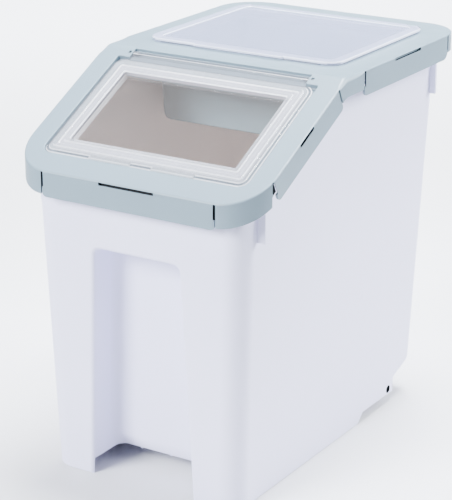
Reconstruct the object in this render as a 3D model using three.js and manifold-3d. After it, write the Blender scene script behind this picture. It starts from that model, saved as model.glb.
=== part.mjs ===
// Pet food bin: a tapered tub on two rear wheels under a folded lid. The lid's slope carries a clear
// flip-up door, its deck carries a treat tray under a clear cover, and six hinged latches hold it down.
// Millimetres. x runs to the right, y back from the lid's front face, z up from the floor. The finished
// group is moved so that its origin is the centre of the footprint.
import * as THREE from 'three';
import Module from 'manifold-3d';
import { mergeVertices } from 'three/addons/utils/BufferGeometryUtils.js';

const wasm = await Module();
wasm.setup();

// ---------------------------------------------------------------- driving dimensions
const GAP = 0.35; // between pieces that touch
const FAR = 60; // how far a cutting tool runs past the piece it cuts

// Lid
const LID_WIDTH = 250;
const LID_DEPTH = 385;
const LID_CORNER = 39;
const DECK_HEIGHT = 361.5;
const FOLD_HEIGHT = 284.5; // front edge of the slope
const BEND_Y = 152.5; // where the slope meets the deck
const LID_WALL = 2.4;
const LATCH_DEPTH = 23; // from the lid's surface to a latch's lower edge
const FRONT_SKIRT = 21; // fixed skirt round the front corners
const REAR_SKIRT = 17; // and beside the bend and round the rear corners

// Latches: flaps cut out of the skirt
const LATCH_WALL = 2.2;
const LATCH_SLIT = 1.1; // beside each latch
const LATCH_CLEARANCE = 0.6; // behind each latch's upper edge
const LATCH_CORNER = { usual: 4, deckRear: 8 };
const FRONT_LATCH_LENGTH = 174.8;
const REAR_LATCH_LENGTH = 172;
const SLOPE_LATCH = { start: 32, end: 139 }; // y of its ends along the fold
const DECK_LATCH = { start: 184.6, end: 348 };
const HINGE_SLOT_HEIGHT = 2.2;
const HINGE_SLOT = { front: 55.6, rear: 55.6, slope: 24.5, deck: 50 };
const HOOK_DROP = 10;
const HOOK_REACH = 4.4;
const HOOK_HEIGHT = 2;
const HOOK_INSET = 8; // hook stops this far short of the latch's ends
const HOOK_LEAN = 1; // its underside slopes up by this much towards the tip
const ROOT = 0.5; // how deep a piece is sunk into the one that it grows out of

// Front door, measured in the slope's own plane: x, then s up the slope from the fold
const DOOR = { halfWidth: 103.2, start: 24, end: 155, lowCorner: 9.5, highCorner: 12 };
const DOOR_CLEARANCE = 0.8;
const DOOR_STEPS = [
  { inset: 0, top: -0.4 },
  { inset: 3.5, top: 0.4 },
  { inset: 7.5, top: 1.2 },
];
const DOOR_UNDERSIDE = -2.6;
const DOOR_HOLLOW_INSET = 8;
const PANE_UNDERSIDE = -0.9;
const DOOR_RIB = { inset: 18.4, wall: 1.8, bottom: -6.5 };
const PULL_TAB = { halfWidth: 53, notchHalfWidth: 11, depth: 4, top: 1 };
const POCKET_FLOOR = -5;
const POCKET_UNDERSIDE = -7.2;
const POCKET_WALL = 1.6;
const DOOR_OPENING_INSET = 16.3; // of the hole in the lid, from the door's outline
const DOOR_SEAL = { inner: 17.6, outer: 8.3, bottom: -4.65, top: -1.25 };

// Door hinge
const DOOR_AXIS = { s: 163.5, n: -2.2 };
const DOOR_BARREL_RADIUS = 2.4;
const DOOR_BARREL_HALF = 91;
const DOOR_TROUGH_RADIUS = 3.3;
const DOOR_TROUGH_STEP = 1.8; // how much further back its mouth reaches
const DOOR_TROUGH_NECK = 1.4; // depth of the way from the pocket into the trough, below the axis
const DOOR_NECK = { start: 153, bottom: -2.4, top: -0.4 }; // the strip from the door to its barrel
const SQUARE_CORNER = 2;
const DOOR_PIN = { radius: 1.3, start: 86, end: 97 };
const PIN_CLEARANCE = 0.3;

// Treat tray
const TRAY = { halfWidth: 93.9, front: 187, back: 340, corner: 6, bottom: 286, wall: 2, draft: 3 };
const TRAY_FLANGE = 3.7; // how far the flange reaches past the walls
const TRAY_FLANGE_THICKNESS = 1.7;
const TRAY_LEDGE_THICKNESS = 2.2;
const TRAY_LEDGE_REACH = 2.6;

// Rear cover
const COVER = { halfWidth: 100, front: 178, back: 351.85, corner: 16, rise: 4, wall: 2.2, edge: 2 };
const COVER_TAB = { halfWidth: 46, reach: 2.6, thickness: 2.4 };
const COVER_PLUG = { clearance: 0.9, wall: 1.8, depth: 5 };
const COVER_SEAL = { inner: -1, outer: 3.2, bottom: 0.3, top: 1.45 }; // reach past the tray's walls
const COVER_BARREL_RADIUS = 1.85;
const COVER_EAR = { start: 82.4, end: 89.6 };
const COVER_PIN = { radius: 0.9, start: 78, end: 94 };
const COVER_NOTCH_CLEARANCE = 1.2; // in front of each ear

// Tub: its outline grows evenly from the floor to the height of the deck
const TUB_FLOOR = { halfWidth: 98.3, front: 17.5, back: 350 };
const TUB_TOP = { halfWidth: 111.5, front: 9.3, back: 364 };
const TUB_CORNER = 20;
const TUB_WALL = 2.4;
const PAN_UNDERSIDE = 15;
const PAN_RIB = { wall: 1.8, bottom: 12, start: 59, end: 276 };
const PAN_RIBS_AT = { x: [-64, -32, 0, 32, 64], y: [130, 203] };
const RIM_DROP = 5; // rim below the lid's top surface
const RIM_THICKNESS = 2.4;
const RIM_INSET = 7; // of the rim's edge from the lid's outer face
const RIM_LIP = { wall: 2.2, depth: 7 };
const GUSSET = { wall: 3, inset: 9.4, drop: 57, positions: [34.4, 343] };

// Hand recess in the tub's front
const RECESS = { top: 218, halfTop: 43.5, halfFloor: 53, backTop: 45.5, backLow: 50, corner: 6 };
const RECESS_BEVEL = { start: 31, back: 57 };

// Wheels and their bay
const WHEEL_RADIUS = 15;
const WHEEL_WIDTH = 16;
const WHEEL_X = 71;
const WHEEL_RIM = 3; // thickness of its tyre
const WHEEL_WEB = 3.2;
const WHEEL_CHAMFER = 1;
const HUB_WIDTH = 19;
const HUB_RADIUS = 6.5;
const WHEEL_Y = 297.7;
const AXLE_RADIUS = 2.75;
const AXLE_HALF = 99.2;
const AXLE_HOLE_RADIUS = 3.1;
const BAY = { start: 278, ceiling: 36, halfWidth: 95.7 };
const CHEEK = { rampStart: 236, rampEnd: 246, bottom: 10, back: 307 };
const CHEEK_CHAMFER = { low: 25, high: 34.5, back: 334, end: 338 };
const HANGER = { start: 58.5, end: 61, halfTop: 17, neck: 24, halfFoot: 7, foot: 8 };
const BOSS = { radius: 6, start: 81, end: 96.5 };

// Seal under the lid
const LID_SEAL = { outer: 9, inner: 13, top: 2.75, bottom: 4.65 };

// ---------------------------------------------------------------- values worked out from them
const HALF_WIDTH = LID_WIDTH / 2;
const SLOPE = Math.atan2(DECK_HEIGHT - FOLD_HEIGHT, BEND_Y);
const SLOPE_COS = Math.cos(SLOPE);
const SLOPE_SIN = Math.sin(SLOPE);
const X = new THREE.Vector3(1, 0, 0);
const Y = new THREE.Vector3(0, 1, 0);
const Z = new THREE.Vector3(0, 0, 1);
const UP_SLOPE = new THREE.Vector3(0, SLOPE_COS, SLOPE_SIN);
const OFF_SLOPE = new THREE.Vector3(0, -SLOPE_SIN, SLOPE_COS);
const SLOPE_FRAME = frameAt(X, UP_SLOPE, OFF_SLOPE, new THREE.Vector3(0, 0, FOLD_HEIGHT));
const COVER_AXIS = { y: COVER.back - COVER_BARREL_RADIUS, z: DECK_HEIGHT + COVER.rise - COVER_BARREL_RADIUS };

// ---------------------------------------------------------------- materials
function plastic(colour, roughness, opacity = 1) {
  return new THREE.MeshStandardMaterial({
    color: colour,
    roughness,
    metalness: 0,
    opacity,
    transparent: opacity < 1,
  });
}

const MATERIALS = {
  tub: plastic(0xe0e0ea, 0.45),
  lid: plastic(0xc7d3da, 0.4),
  clear: plastic(0xe6eaf2, 0.1, 0.35),
  seal: plastic(0xe8eaee, 0.7),
  wheel: plastic(0x2b2c2e, 0.6),
  steel: new THREE.MeshStandardMaterial({ color: 0x55585c, roughness: 0.35, metalness: 1 }),
};

// ---------------------------------------------------------------- solids and booleans
function frameAt(right, forward, up, origin) {
  return new THREE.Matrix4().makeBasis(right, forward, up).setPosition(origin);
}

function toManifold(geometry) {
  const bare = geometry.clone();
  bare.deleteAttribute('normal');
  bare.deleteAttribute('uv');
  const welded = mergeVertices(bare, 1e-4);
  return new wasm.Manifold(new wasm.Mesh({
    numProp: 3,
    vertProperties: new Float32Array(welded.attributes.position.array),
    triVerts: new Uint32Array(welded.index.array),
  }));
}

function toGeometry(manifold) {
  const mesh = manifold.getMesh();
  const geometry = new THREE.BufferGeometry();
  geometry.setAttribute('position', new THREE.BufferAttribute(mesh.vertProperties, 3));
  geometry.setIndex(new THREE.BufferAttribute(mesh.triVerts, 1));
  geometry.computeVertexNormals();
  return geometry;
}

function join(first, ...others) {
  return others.reduce((whole, piece) => whole.add(piece), first);
}

function cut(body, ...tools) {
  return tools.reduce((rest, tool) => rest.subtract(tool), body);
}

// A rectangle from x -half to half and from y front to back, with its own radius on each pair of corners
function roundedRectangle(half, front, back, frontRadius, backRadius = frontRadius) {
  const shape = new THREE.Shape();
  shape.moveTo(-half + frontRadius, front);
  shape.absarc(half - frontRadius, front + frontRadius, frontRadius, -Math.PI / 2, 0);
  shape.absarc(half - backRadius, back - backRadius, backRadius, 0, Math.PI / 2);
  shape.absarc(-half + backRadius, back - backRadius, backRadius, Math.PI / 2, Math.PI);
  shape.absarc(-half + frontRadius, front + frontRadius, frontRadius, Math.PI, 1.5 * Math.PI);
  shape.closePath();
  return shape;
}

function polygon(points) {
  return new THREE.Shape(points.map(([a, b]) => new THREE.Vector2(a, b)));
}

function extrude(shape, from, to, frame = null, curveSegments = 4) {
  const geometry = new THREE.ExtrudeGeometry(shape, {
    depth: to - from,
    bevelEnabled: false,
    curveSegments,
  });
  geometry.translate(0, 0, from);
  if (frame) geometry.applyMatrix4(frame);
  return geometry;
}

// Prisms along each axis. Along x the shape's own axes are y and z, and along y they are x and z.
const ALONG_X = frameAt(Y, Z, X, new THREE.Vector3());
const ALONG_Y = frameAt(X, Z, Y.clone().negate(), new THREE.Vector3());

function prismZ(shape, from, to) {
  return toManifold(extrude(shape, from, to));
}

function prismX(points, from, to) {
  return toManifold(extrude(polygon(points), from, to, ALONG_X));
}

function prismY(shape, from, to) {
  return toManifold(extrude(shape, -to, -from, ALONG_Y));
}

function slopePrism(shape, from, to) {
  return toManifold(extrude(shape, from, to, SLOPE_FRAME));
}

function box(x0, x1, y0, y1, z0, z1, frame = null) {
  const geometry = new THREE.BoxGeometry(x1 - x0, y1 - y0, z1 - z0);
  geometry.translate((x0 + x1) / 2, (y0 + y1) / 2, (z0 + z1) / 2);
  if (frame) geometry.applyMatrix4(frame);
  return toManifold(geometry);
}

// A rod along x from one end to the other, about the line at (a, b) in the frame's own y and z
function rodX(radius, from, to, a, b, frame = null, segments = 24) {
  const geometry = new THREE.CylinderGeometry(radius, radius, to - from, segments);
  geometry.rotateZ(-Math.PI / 2);
  geometry.translate((from + to) / 2, a, b);
  if (frame) geometry.applyMatrix4(frame);
  return toManifold(geometry);
}

// ---------------------------------------------------------------- the lid's folded surface
function lidLine(y, drop) {
  return Math.min(FOLD_HEIGHT + y * Math.tan(SLOPE), DECK_HEIGHT) - drop;
}

// Everything between two copies of the lid's surface, each lowered by its drop
function lidBand(upperDrop, lowerDrop) {
  const line = (drop) => [-FAR, BEND_Y, LID_DEPTH + FAR].map((y) => [y, lidLine(y, drop)]);
  return prismX([...line(lowerDrop), ...line(upperDrop).reverse()], -LID_WIDTH, LID_WIDTH);
}

function lidPlan(inset) {
  const shape = roundedRectangle(HALF_WIDTH - inset, inset, LID_DEPTH - inset, LID_CORNER - inset);
  return prismZ(shape, 0, DECK_HEIGHT + FAR);
}

function doorOutline(inset) {
  return roundedRectangle(
    DOOR.halfWidth - inset,
    DOOR.start + inset,
    DOOR.end - inset,
    Math.max(DOOR.lowCorner - inset, SQUARE_CORNER),
    Math.max(DOOR.highCorner - inset, SQUARE_CORNER),
  );
}

// ---------------------------------------------------------------- latches
// A latch's frame: x along its fold line, y inward through the skirt, z up. Its origin is on the
// skirt's outer face just under the lid's top plate, midway along the latch.
const SLOPE_LATCH_MIDDLE = (SLOPE_LATCH.start + SLOPE_LATCH.end) / 2;
const DECK_LATCH_MIDDLE = (DECK_LATCH.start + DECK_LATCH.end) / 2;
const DECK_UNDERSIDE = DECK_HEIGHT - LID_WALL;

function latchList() {
  const list = [
    {
      name: 'front_latch',
      length: FRONT_LATCH_LENGTH,
      slot: HINGE_SLOT.front,
      height: LATCH_DEPTH - LID_WALL,
      frame: frameAt(X, Y, Z, new THREE.Vector3(0, 0, FOLD_HEIGHT - LID_WALL)),
    },
    {
      name: 'rear_latch',
      length: REAR_LATCH_LENGTH,
      slot: HINGE_SLOT.rear,
      height: LATCH_DEPTH - LID_WALL,
      frame: frameAt(X.clone().negate(), Y.clone().negate(), Z,
        new THREE.Vector3(0, LID_DEPTH, DECK_UNDERSIDE)),
    },
  ];
  for (const [side, sign] of [['left', -1], ['right', 1]]) {
    const inward = X.clone().multiplyScalar(-sign);
    list.push({
      name: `${side}_slope_latch`,
      length: (SLOPE_LATCH.end - SLOPE_LATCH.start) / SLOPE_COS,
      slot: HINGE_SLOT.slope,
      height: (LATCH_DEPTH - LID_WALL) * SLOPE_COS,
      frame: frameAt(UP_SLOPE.clone().multiplyScalar(sign), inward, OFF_SLOPE, new THREE.Vector3(
        sign * HALF_WIDTH,
        SLOPE_LATCH_MIDDLE,
        lidLine(SLOPE_LATCH_MIDDLE, LID_WALL),
      )),
    });
    list.push({
      name: `${side}_deck_latch`,
      length: DECK_LATCH.end - DECK_LATCH.start,
      slot: HINGE_SLOT.deck,
      rearEnd: sign,
      height: LATCH_DEPTH - LID_WALL,
      frame: frameAt(Y.clone().multiplyScalar(sign), inward, Z,
        new THREE.Vector3(sign * HALF_WIDTH, DECK_LATCH_MIDDLE, DECK_UNDERSIDE)),
    });
  }
  return list;
}

// A latch plate's outline in its own x and z, square at the top and round at its lower corners
function latchOutline(half, height, leftRadius, rightRadius) {
  const shape = new THREE.Shape();
  shape.moveTo(half, -GAP);
  shape.lineTo(-half, -GAP);
  shape.absarc(-half + leftRadius, -height + leftRadius, leftRadius, Math.PI, 1.5 * Math.PI);
  shape.absarc(half - rightRadius, -height + rightRadius, rightRadius, 1.5 * Math.PI, 2 * Math.PI);
  shape.closePath();
  return shape;
}

function buildLatch({ length, slot, height, frame, rearEnd = 0 }) {
  const half = length / 2;
  const [left, right] = [-1, 1].map((end) => (end === rearEnd ? LATCH_CORNER.deckRear : LATCH_CORNER.usual));
  const upright = frame.clone().multiply(ALONG_Y);
  const plate = toManifold(extrude(latchOutline(half, height, left, right), -LATCH_WALL, 0, upright));
  const hinge = box(-slot / 2, slot / 2, -1, LATCH_WALL + 1, -HINGE_SLOT_HEIGHT - GAP, 1, frame);
  const hookSection = [
    [LATCH_WALL - ROOT, -HOOK_DROP],
    [LATCH_WALL - ROOT, -HOOK_DROP - HOOK_HEIGHT - HOOK_LEAN],
    [LATCH_WALL, -HOOK_DROP - HOOK_HEIGHT - HOOK_LEAN],
    [LATCH_WALL + HOOK_REACH, -HOOK_DROP - HOOK_HEIGHT / 2],
    [LATCH_WALL + HOOK_REACH, -HOOK_DROP],
  ];
  const hookFrame = frame.clone().multiply(ALONG_X);
  const hookHalf = half - HOOK_INSET;
  const hook = toManifold(extrude(polygon(hookSection), -hookHalf, hookHalf, hookFrame));
  return join(cut(plate, hinge), hook);
}

// The room each latch takes out of the skirt
function latchRooms() {
  const reach = LATCH_WALL + LATCH_CLEARANCE;
  const frontHalf = FRONT_LATCH_LENGTH / 2 + LATCH_SLIT;
  const rearHalf = REAR_LATCH_LENGTH / 2 + LATCH_SLIT;
  const deckRoom = [
    [DECK_LATCH.start - LATCH_SLIT, DECK_UNDERSIDE],
    [DECK_LATCH.start - LATCH_SLIT, DECK_UNDERSIDE - FAR],
    [DECK_LATCH.end + LATCH_SLIT, DECK_UNDERSIDE - FAR],
    [DECK_LATCH.end + LATCH_SLIT, DECK_UNDERSIDE],
  ];
  // The slope latch is cut square to the slope at its upper end and upright at its lower end
  const low = SLOPE_LATCH.start - LATCH_SLIT;
  const high = SLOPE_LATCH.end + LATCH_SLIT;
  const slopeRoom = [
    [low, lidLine(low, LID_WALL)],
    [low, lidLine(low, LID_WALL) - FAR],
    [high + FAR * SLOPE_SIN, lidLine(high, LID_WALL) - FAR * SLOPE_COS],
    [high, lidLine(high, LID_WALL)],
  ];
  const rooms = [
    prismX([
      [-1, FOLD_HEIGHT - LID_WALL],
      [-1, FOLD_HEIGHT - FAR],
      [reach, FOLD_HEIGHT - FAR],
      [reach, lidLine(reach, LID_WALL)],
      [0, FOLD_HEIGHT - LID_WALL],
    ], -frontHalf, frontHalf),
    box(-rearHalf, rearHalf, LID_DEPTH - reach, LID_DEPTH + 1, DECK_UNDERSIDE - FAR, DECK_UNDERSIDE),
  ];
  for (const outline of [deckRoom, slopeRoom]) {
    rooms.push(prismX(outline, HALF_WIDTH - reach, HALF_WIDTH + 1));
    rooms.push(prismX(outline, -HALF_WIDTH - 1, -HALF_WIDTH + reach));
  }
  return rooms;
}

// ---------------------------------------------------------------- lid frame
// The well under the door: a rebate that the door lies in, with a ledge for the seal and a trough for
// the hinge barrel. The upper corners are square, so a small gap shows beside the door's round ones.
function doorSurround() {
  const wide = DOOR.halfWidth + DOOR_CLEARANCE + POCKET_WALL;
  const low = DOOR.start - DOOR_CLEARANCE - POCKET_WALL;
  const high = DOOR_AXIS.s + DOOR_TROUGH_RADIUS + DOOR_TROUGH_STEP + POCKET_WALL;
  const lowCorner = DOOR.lowCorner + DOOR_CLEARANCE + POCKET_WALL;
  const outline = roundedRectangle(wide, low, high, lowCorner, SQUARE_CORNER);
  return slopePrism(outline, POCKET_UNDERSIDE, -LID_WALL / 2);
}

function doorRooms() {
  const wide = DOOR.halfWidth + DOOR_CLEARANCE;
  const pocket = roundedRectangle(
    wide,
    DOOR.start - DOOR_CLEARANCE,
    DOOR.end + 2 * DOOR_CLEARANCE,
    DOOR.lowCorner + DOOR_CLEARANCE,
    SQUARE_CORNER,
  );
  const { s, n } = DOOR_AXIS;
  const half = DOOR_BARREL_HALF + DOOR_CLEARANCE;
  const rooms = [
    slopePrism(pocket, POCKET_FLOOR, FAR),
    slopePrism(doorOutline(DOOR_OPENING_INSET), -FAR, FAR),
    box(-half, half, s - DOOR_TROUGH_RADIUS, s + DOOR_TROUGH_RADIUS + DOOR_TROUGH_STEP, n, FAR, SLOPE_FRAME),
    box(-half, half, DOOR.end, s, n - DOOR_TROUGH_NECK, FAR, SLOPE_FRAME),
    rodX(DOOR_TROUGH_RADIUS, -half, half, s, n, SLOPE_FRAME),
  ];
  for (const sign of [-1, 1]) {
    const ends = [sign * DOOR_BARREL_HALF, sign * (DOOR_PIN.end + PIN_CLEARANCE)].sort((a, b) => a - b);
    rooms.push(rodX(DOOR_PIN.radius + PIN_CLEARANCE, ...ends, s, n, SLOPE_FRAME));
  }
  return rooms;
}

// The tray's outline, grown on every side
function trayPlan(grow, bottom, top) {
  const { halfWidth, front, back, corner } = TRAY;
  return prismZ(roundedRectangle(halfWidth + grow, front - grow, back + grow, corner + grow), bottom, top);
}

function coverEars() {
  const { y, z } = COVER_AXIS;
  const ears = [];
  for (const sign of [-1, 1]) {
    const [from, to] = [sign * COVER_EAR.start, sign * COVER_EAR.end].sort((a, b) => a - b);
    const post = box(from, to, y - COVER_BARREL_RADIUS, y + COVER_BARREL_RADIUS, DECK_HEIGHT - 1, z);
    const round = rodX(COVER_BARREL_RADIUS, from, to, y, z);
    ears.push(cut(join(post, round), rodX(COVER_PIN.radius + PIN_CLEARANCE, from - 1, to + 1, y, z)));
  }
  return ears;
}

function buildLidFrame() {
  const shell = cut(
    lidPlan(0).intersect(lidBand(0, FRONT_SKIRT)),
    lidPlan(LID_WALL).intersect(lidBand(LID_WALL, FAR)),
  );
  const ledgeTop = DECK_HEIGHT - TRAY_FLANGE_THICKNESS - GAP;
  const ledge = trayPlan(TRAY_FLANGE + TRAY_LEDGE_REACH, ledgeTop - TRAY_LEDGE_THICKNESS, ledgeTop + 1);
  const behindFrontCorners = box(-LID_WIDTH, LID_WIDTH, 2 * SLOPE_LATCH.start, LID_DEPTH + 1, 0, DECK_HEIGHT);
  const rearTrim = behindFrontCorners.intersect(lidBand(REAR_SKIRT, FAR));
  return cut(
    join(shell, doorSurround(), ledge, ...coverEars()),
    trayPlan(GAP, 0, DECK_HEIGHT + 1),
    trayPlan(TRAY_FLANGE + GAP, ledgeTop, DECK_HEIGHT + 1),
    rearTrim,
    ...doorRooms(),
    ...latchRooms(),
  );
}

function buildLidSeal() {
  const ring = cut(lidPlan(LID_SEAL.outer), lidPlan(LID_SEAL.inner));
  return ring.intersect(lidBand(LID_SEAL.top, LID_SEAL.bottom));
}

// ---------------------------------------------------------------- front door
function buildFrontDoor() {
  const { s, n } = DOOR_AXIS;
  const steps = DOOR_STEPS.map(({ inset, top }) => slopePrism(doorOutline(inset), DOOR_UNDERSIDE, top));
  const ribOuter = slopePrism(doorOutline(DOOR_RIB.inset), DOOR_RIB.bottom, PANE_UNDERSIDE + ROOT);
  const ribInner = slopePrism(doorOutline(DOOR_RIB.inset + DOOR_RIB.wall), -FAR, PANE_UNDERSIDE);
  const neck = box(-DOOR_BARREL_HALF, DOOR_BARREL_HALF, DOOR_NECK.start, s, DOOR_NECK.bottom,
    DOOR_NECK.top, SLOPE_FRAME);
  const barrel = rodX(DOOR_BARREL_RADIUS, -DOOR_BARREL_HALF, DOOR_BARREL_HALF, s, n, SLOPE_FRAME);
  const tabs = [-1, 1].map((sign) => {
    const ends = [sign * PULL_TAB.notchHalfWidth, sign * PULL_TAB.halfWidth].sort((a, b) => a - b);
    return box(...ends, DOOR.start, DOOR.start + PULL_TAB.depth, DOOR_UNDERSIDE, PULL_TAB.top, SLOPE_FRAME);
  });
  const pinHoles = [-1, 1].map((sign) => {
    const ends = [sign * (DOOR_PIN.start - PIN_CLEARANCE), sign * FAR * 2].sort((a, b) => a - b);
    return rodX(DOOR_PIN.radius + PIN_CLEARANCE, ...ends, s, n, SLOPE_FRAME);
  });
  const shell = cut(join(...steps), slopePrism(doorOutline(DOOR_HOLLOW_INSET), -FAR, PANE_UNDERSIDE));
  return cut(join(shell, cut(ribOuter, ribInner), neck, barrel, ...tabs), ...pinHoles);
}

function buildDoorSeal() {
  const { inner, outer, bottom, top } = DOOR_SEAL;
  return cut(
    slopePrism(doorOutline(outer), bottom, top),
    slopePrism(doorOutline(inner), -FAR, FAR),
  );
}

function pinPair(baseName, { radius, start, end }, a, b, frame) {
  return [['left', -1], ['right', 1]].map(([side, sign]) => {
    const ends = [sign * start, sign * end].sort((p, q) => p - q);
    return [`${baseName}_${side}`, rodX(radius, ...ends, a, b, frame), MATERIALS.steel];
  });
}

// ---------------------------------------------------------------- treat tray and its cover
function trayWalls(inset, bottom, top) {
  const shape = roundedRectangle(
    TRAY.halfWidth - inset,
    TRAY.front + inset,
    TRAY.back - inset,
    TRAY.corner - inset,
  );
  const geometry = extrude(shape, bottom, top);
  const middle = (TRAY.front + TRAY.back) / 2;
  const place = geometry.attributes.position;
  for (let i = 0; i < place.count; i += 1) {
    const shrink = TRAY.draft * (DECK_HEIGHT - place.getZ(i)) / (DECK_HEIGHT - TRAY.bottom);
    place.setX(i, place.getX(i) * (1 - shrink / TRAY.halfWidth));
    place.setY(i, middle + (place.getY(i) - middle) * (1 - shrink / (middle - TRAY.front)));
  }
  return toManifold(geometry);
}

function buildTreatTray() {
  const flange = trayPlan(TRAY_FLANGE, DECK_HEIGHT - TRAY_FLANGE_THICKNESS, DECK_HEIGHT);
  return cut(
    join(trayWalls(0, TRAY.bottom, DECK_HEIGHT), flange),
    trayWalls(TRAY.wall, TRAY.bottom + TRAY.wall, DECK_HEIGHT + 1),
  );
}

function coverPrism(inset, bottom, top) {
  const corner = Math.max(COVER.corner - inset, 3);
  const shape = roundedRectangle(COVER.halfWidth - inset, COVER.front + inset, COVER.back - inset, corner);
  return prismZ(shape, DECK_HEIGHT + bottom, DECK_HEIGHT + top);
}

function buildRearCover() {
  const { y, z } = COVER_AXIS;
  const underside = COVER.rise - COVER.wall;
  const shell = cut(coverPrism(0, GAP, COVER.rise), coverPrism(COVER.edge, 0, underside));
  const plugOuter = -TRAY.wall - COVER_PLUG.clearance;
  const plug = cut(
    trayPlan(plugOuter, DECK_HEIGHT - COVER_PLUG.depth, DECK_HEIGHT + underside + ROOT),
    trayPlan(plugOuter - COVER_PLUG.wall, 0, DECK_HEIGHT + underside),
  );
  const tab = box(-COVER_TAB.halfWidth, COVER_TAB.halfWidth, COVER.front - COVER_TAB.reach,
    COVER.front + 1, DECK_HEIGHT + COVER.rise - COVER_TAB.thickness, DECK_HEIGHT + COVER.rise);
  // The straight rear edge is the hinge barrel, so it is round about the hinge axis
  const straight = COVER.halfWidth - COVER.corner / 2;
  const rearEdge = box(-COVER.halfWidth - 1, COVER.halfWidth + 1, y, y + FAR, DECK_HEIGHT - 1,
    DECK_HEIGHT + COVER.rise + 1);
  const barrel = rodX(COVER_BARREL_RADIUS, -straight, straight, y, z);
  const notches = [-1, 1].map((sign) => {
    const clear = COVER_EAR.start - GAP;
    const ends = [sign * clear, sign * (COVER_EAR.end + GAP)].sort((a, b) => a - b);
    return box(...ends, y - COVER_BARREL_RADIUS - COVER_NOTCH_CLEARANCE, y + FAR, DECK_HEIGHT - 1,
      DECK_HEIGHT + COVER.rise + 1);
  });
  const bores = [-1, 1].map((sign) => {
    const ends = [
      sign * (COVER_PIN.start - PIN_CLEARANCE),
      sign * (COVER_PIN.end + PIN_CLEARANCE),
    ].sort((a, b) => a - b);
    return rodX(COVER_PIN.radius + PIN_CLEARANCE, ...ends, y, z);
  });
  return cut(join(cut(shell, rearEdge), plug, tab, barrel), ...notches, ...bores);
}

function buildCoverSeal() {
  const { inner, outer, bottom, top } = COVER_SEAL;
  return cut(
    trayPlan(outer, DECK_HEIGHT + bottom, DECK_HEIGHT + top),
    trayPlan(inner, DECK_HEIGHT, DECK_HEIGHT + COVER.rise),
  );
}

// ---------------------------------------------------------------- tub
function mix(a, b, t) {
  return a + (b - a) * t;
}

function tubPrism(inset, bottom, top) {
  const { halfWidth, front, back } = TUB_FLOOR;
  const shape = roundedRectangle(halfWidth - inset, front + inset, back - inset, TUB_CORNER - inset);
  const geometry = extrude(shape, bottom, top);
  const place = geometry.attributes.position;
  for (let i = 0; i < place.count; i += 1) {
    const rise = place.getZ(i) / DECK_HEIGHT;
    const along = (place.getY(i) - front) / (back - front);
    place.setX(i, place.getX(i) * mix(1, TUB_TOP.halfWidth / halfWidth, rise));
    place.setY(i, place.getY(i) + rise * mix(TUB_TOP.front - front, TUB_TOP.back - back, along));
  }
  return toManifold(geometry);
}

// The recess in the tub's front, grown by a wall thickness for the room it takes inside
function recess(grow) {
  const side = prismX([
    [-FAR, RECESS.top + grow],
    [-FAR, -FAR],
    [RECESS_BEVEL.back + grow, -FAR],
    [RECESS_BEVEL.back + grow, PAN_UNDERSIDE],
    [RECESS.backLow + grow, RECESS_BEVEL.start],
    [RECESS.backTop + grow, RECESS.top + grow],
  ], -LID_WIDTH, LID_WIDTH);
  const corner = RECESS.corner + grow;
  const lean = (RECESS.halfFloor - RECESS.halfTop) / RECESS.top;
  const halfLow = RECESS.halfFloor + grow + lean * FAR;
  const halfHigh = RECESS.halfTop + grow;
  const high = RECESS.top + grow;
  const front = new THREE.Shape();
  front.moveTo(-halfLow, -FAR);
  front.lineTo(halfLow, -FAR);
  front.lineTo(halfHigh + lean * corner, high - corner);
  front.absarc(halfHigh - corner, high - corner, corner, 0, Math.PI / 2);
  front.absarc(-halfHigh + corner, high - corner, corner, Math.PI / 2, Math.PI);
  front.closePath();
  return side.intersect(prismY(front, -FAR, LID_DEPTH));
}

function bay(grow) {
  return prismX([
    [BAY.start - grow, BAY.ceiling + grow],
    [BAY.start - grow, -FAR],
    [LID_DEPTH + FAR, -FAR],
    [LID_DEPTH + FAR, BAY.ceiling + grow],
  ], grow ? -LID_WIDTH : -BAY.halfWidth, grow ? LID_WIDTH : BAY.halfWidth);
}

function belowCheeks() {
  return prismX([
    [CHEEK.rampStart, -1],
    [LID_DEPTH, -1],
    [LID_DEPTH, BAY.ceiling],
    [CHEEK_CHAMFER.end, BAY.ceiling],
    [CHEEK_CHAMFER.back, CHEEK_CHAMFER.high],
    [CHEEK.back, CHEEK_CHAMFER.low],
    [CHEEK.back, CHEEK.bottom],
    [CHEEK.rampEnd, CHEEK.bottom],
    [CHEEK.rampStart, 0],
  ], -LID_WIDTH, LID_WIDTH);
}

function rim() {
  const flange = lidPlan(RIM_INSET).intersect(lidBand(RIM_DROP, RIM_DROP + RIM_THICKNESS));
  const lip = cut(lidPlan(RIM_INSET), lidPlan(RIM_INSET + RIM_LIP.wall))
    .intersect(lidBand(RIM_DROP, RIM_DROP + RIM_LIP.depth));
  return join(flange, lip);
}

function gussets() {
  const pieces = [];
  for (const y of GUSSET.positions) {
    const bottom = lidLine(y, GUSSET.drop);
    const outer = HALF_WIDTH - GUSSET.inset;
    const plate = box(-outer, outer, y, y + GUSSET.wall, bottom, DECK_HEIGHT);
    pieces.push(plate.intersect(lidBand(RIM_DROP + 1, GUSSET.drop + FAR)));
  }
  return pieces;
}

function panRibs() {
  const { wall, bottom, start, end } = PAN_RIB;
  const top = PAN_UNDERSIDE + 1;
  const half = TUB_FLOOR.halfWidth - 1;
  return [
    ...PAN_RIBS_AT.x.map((x) => box(x - wall / 2, x + wall / 2, start, end, bottom, top)),
    ...PAN_RIBS_AT.y.map((y) => box(-half, half, y - wall / 2, y + wall / 2, bottom, top)),
    box(-half, half, end - wall, end, bottom, BAY.ceiling + 1),
  ];
}

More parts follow.
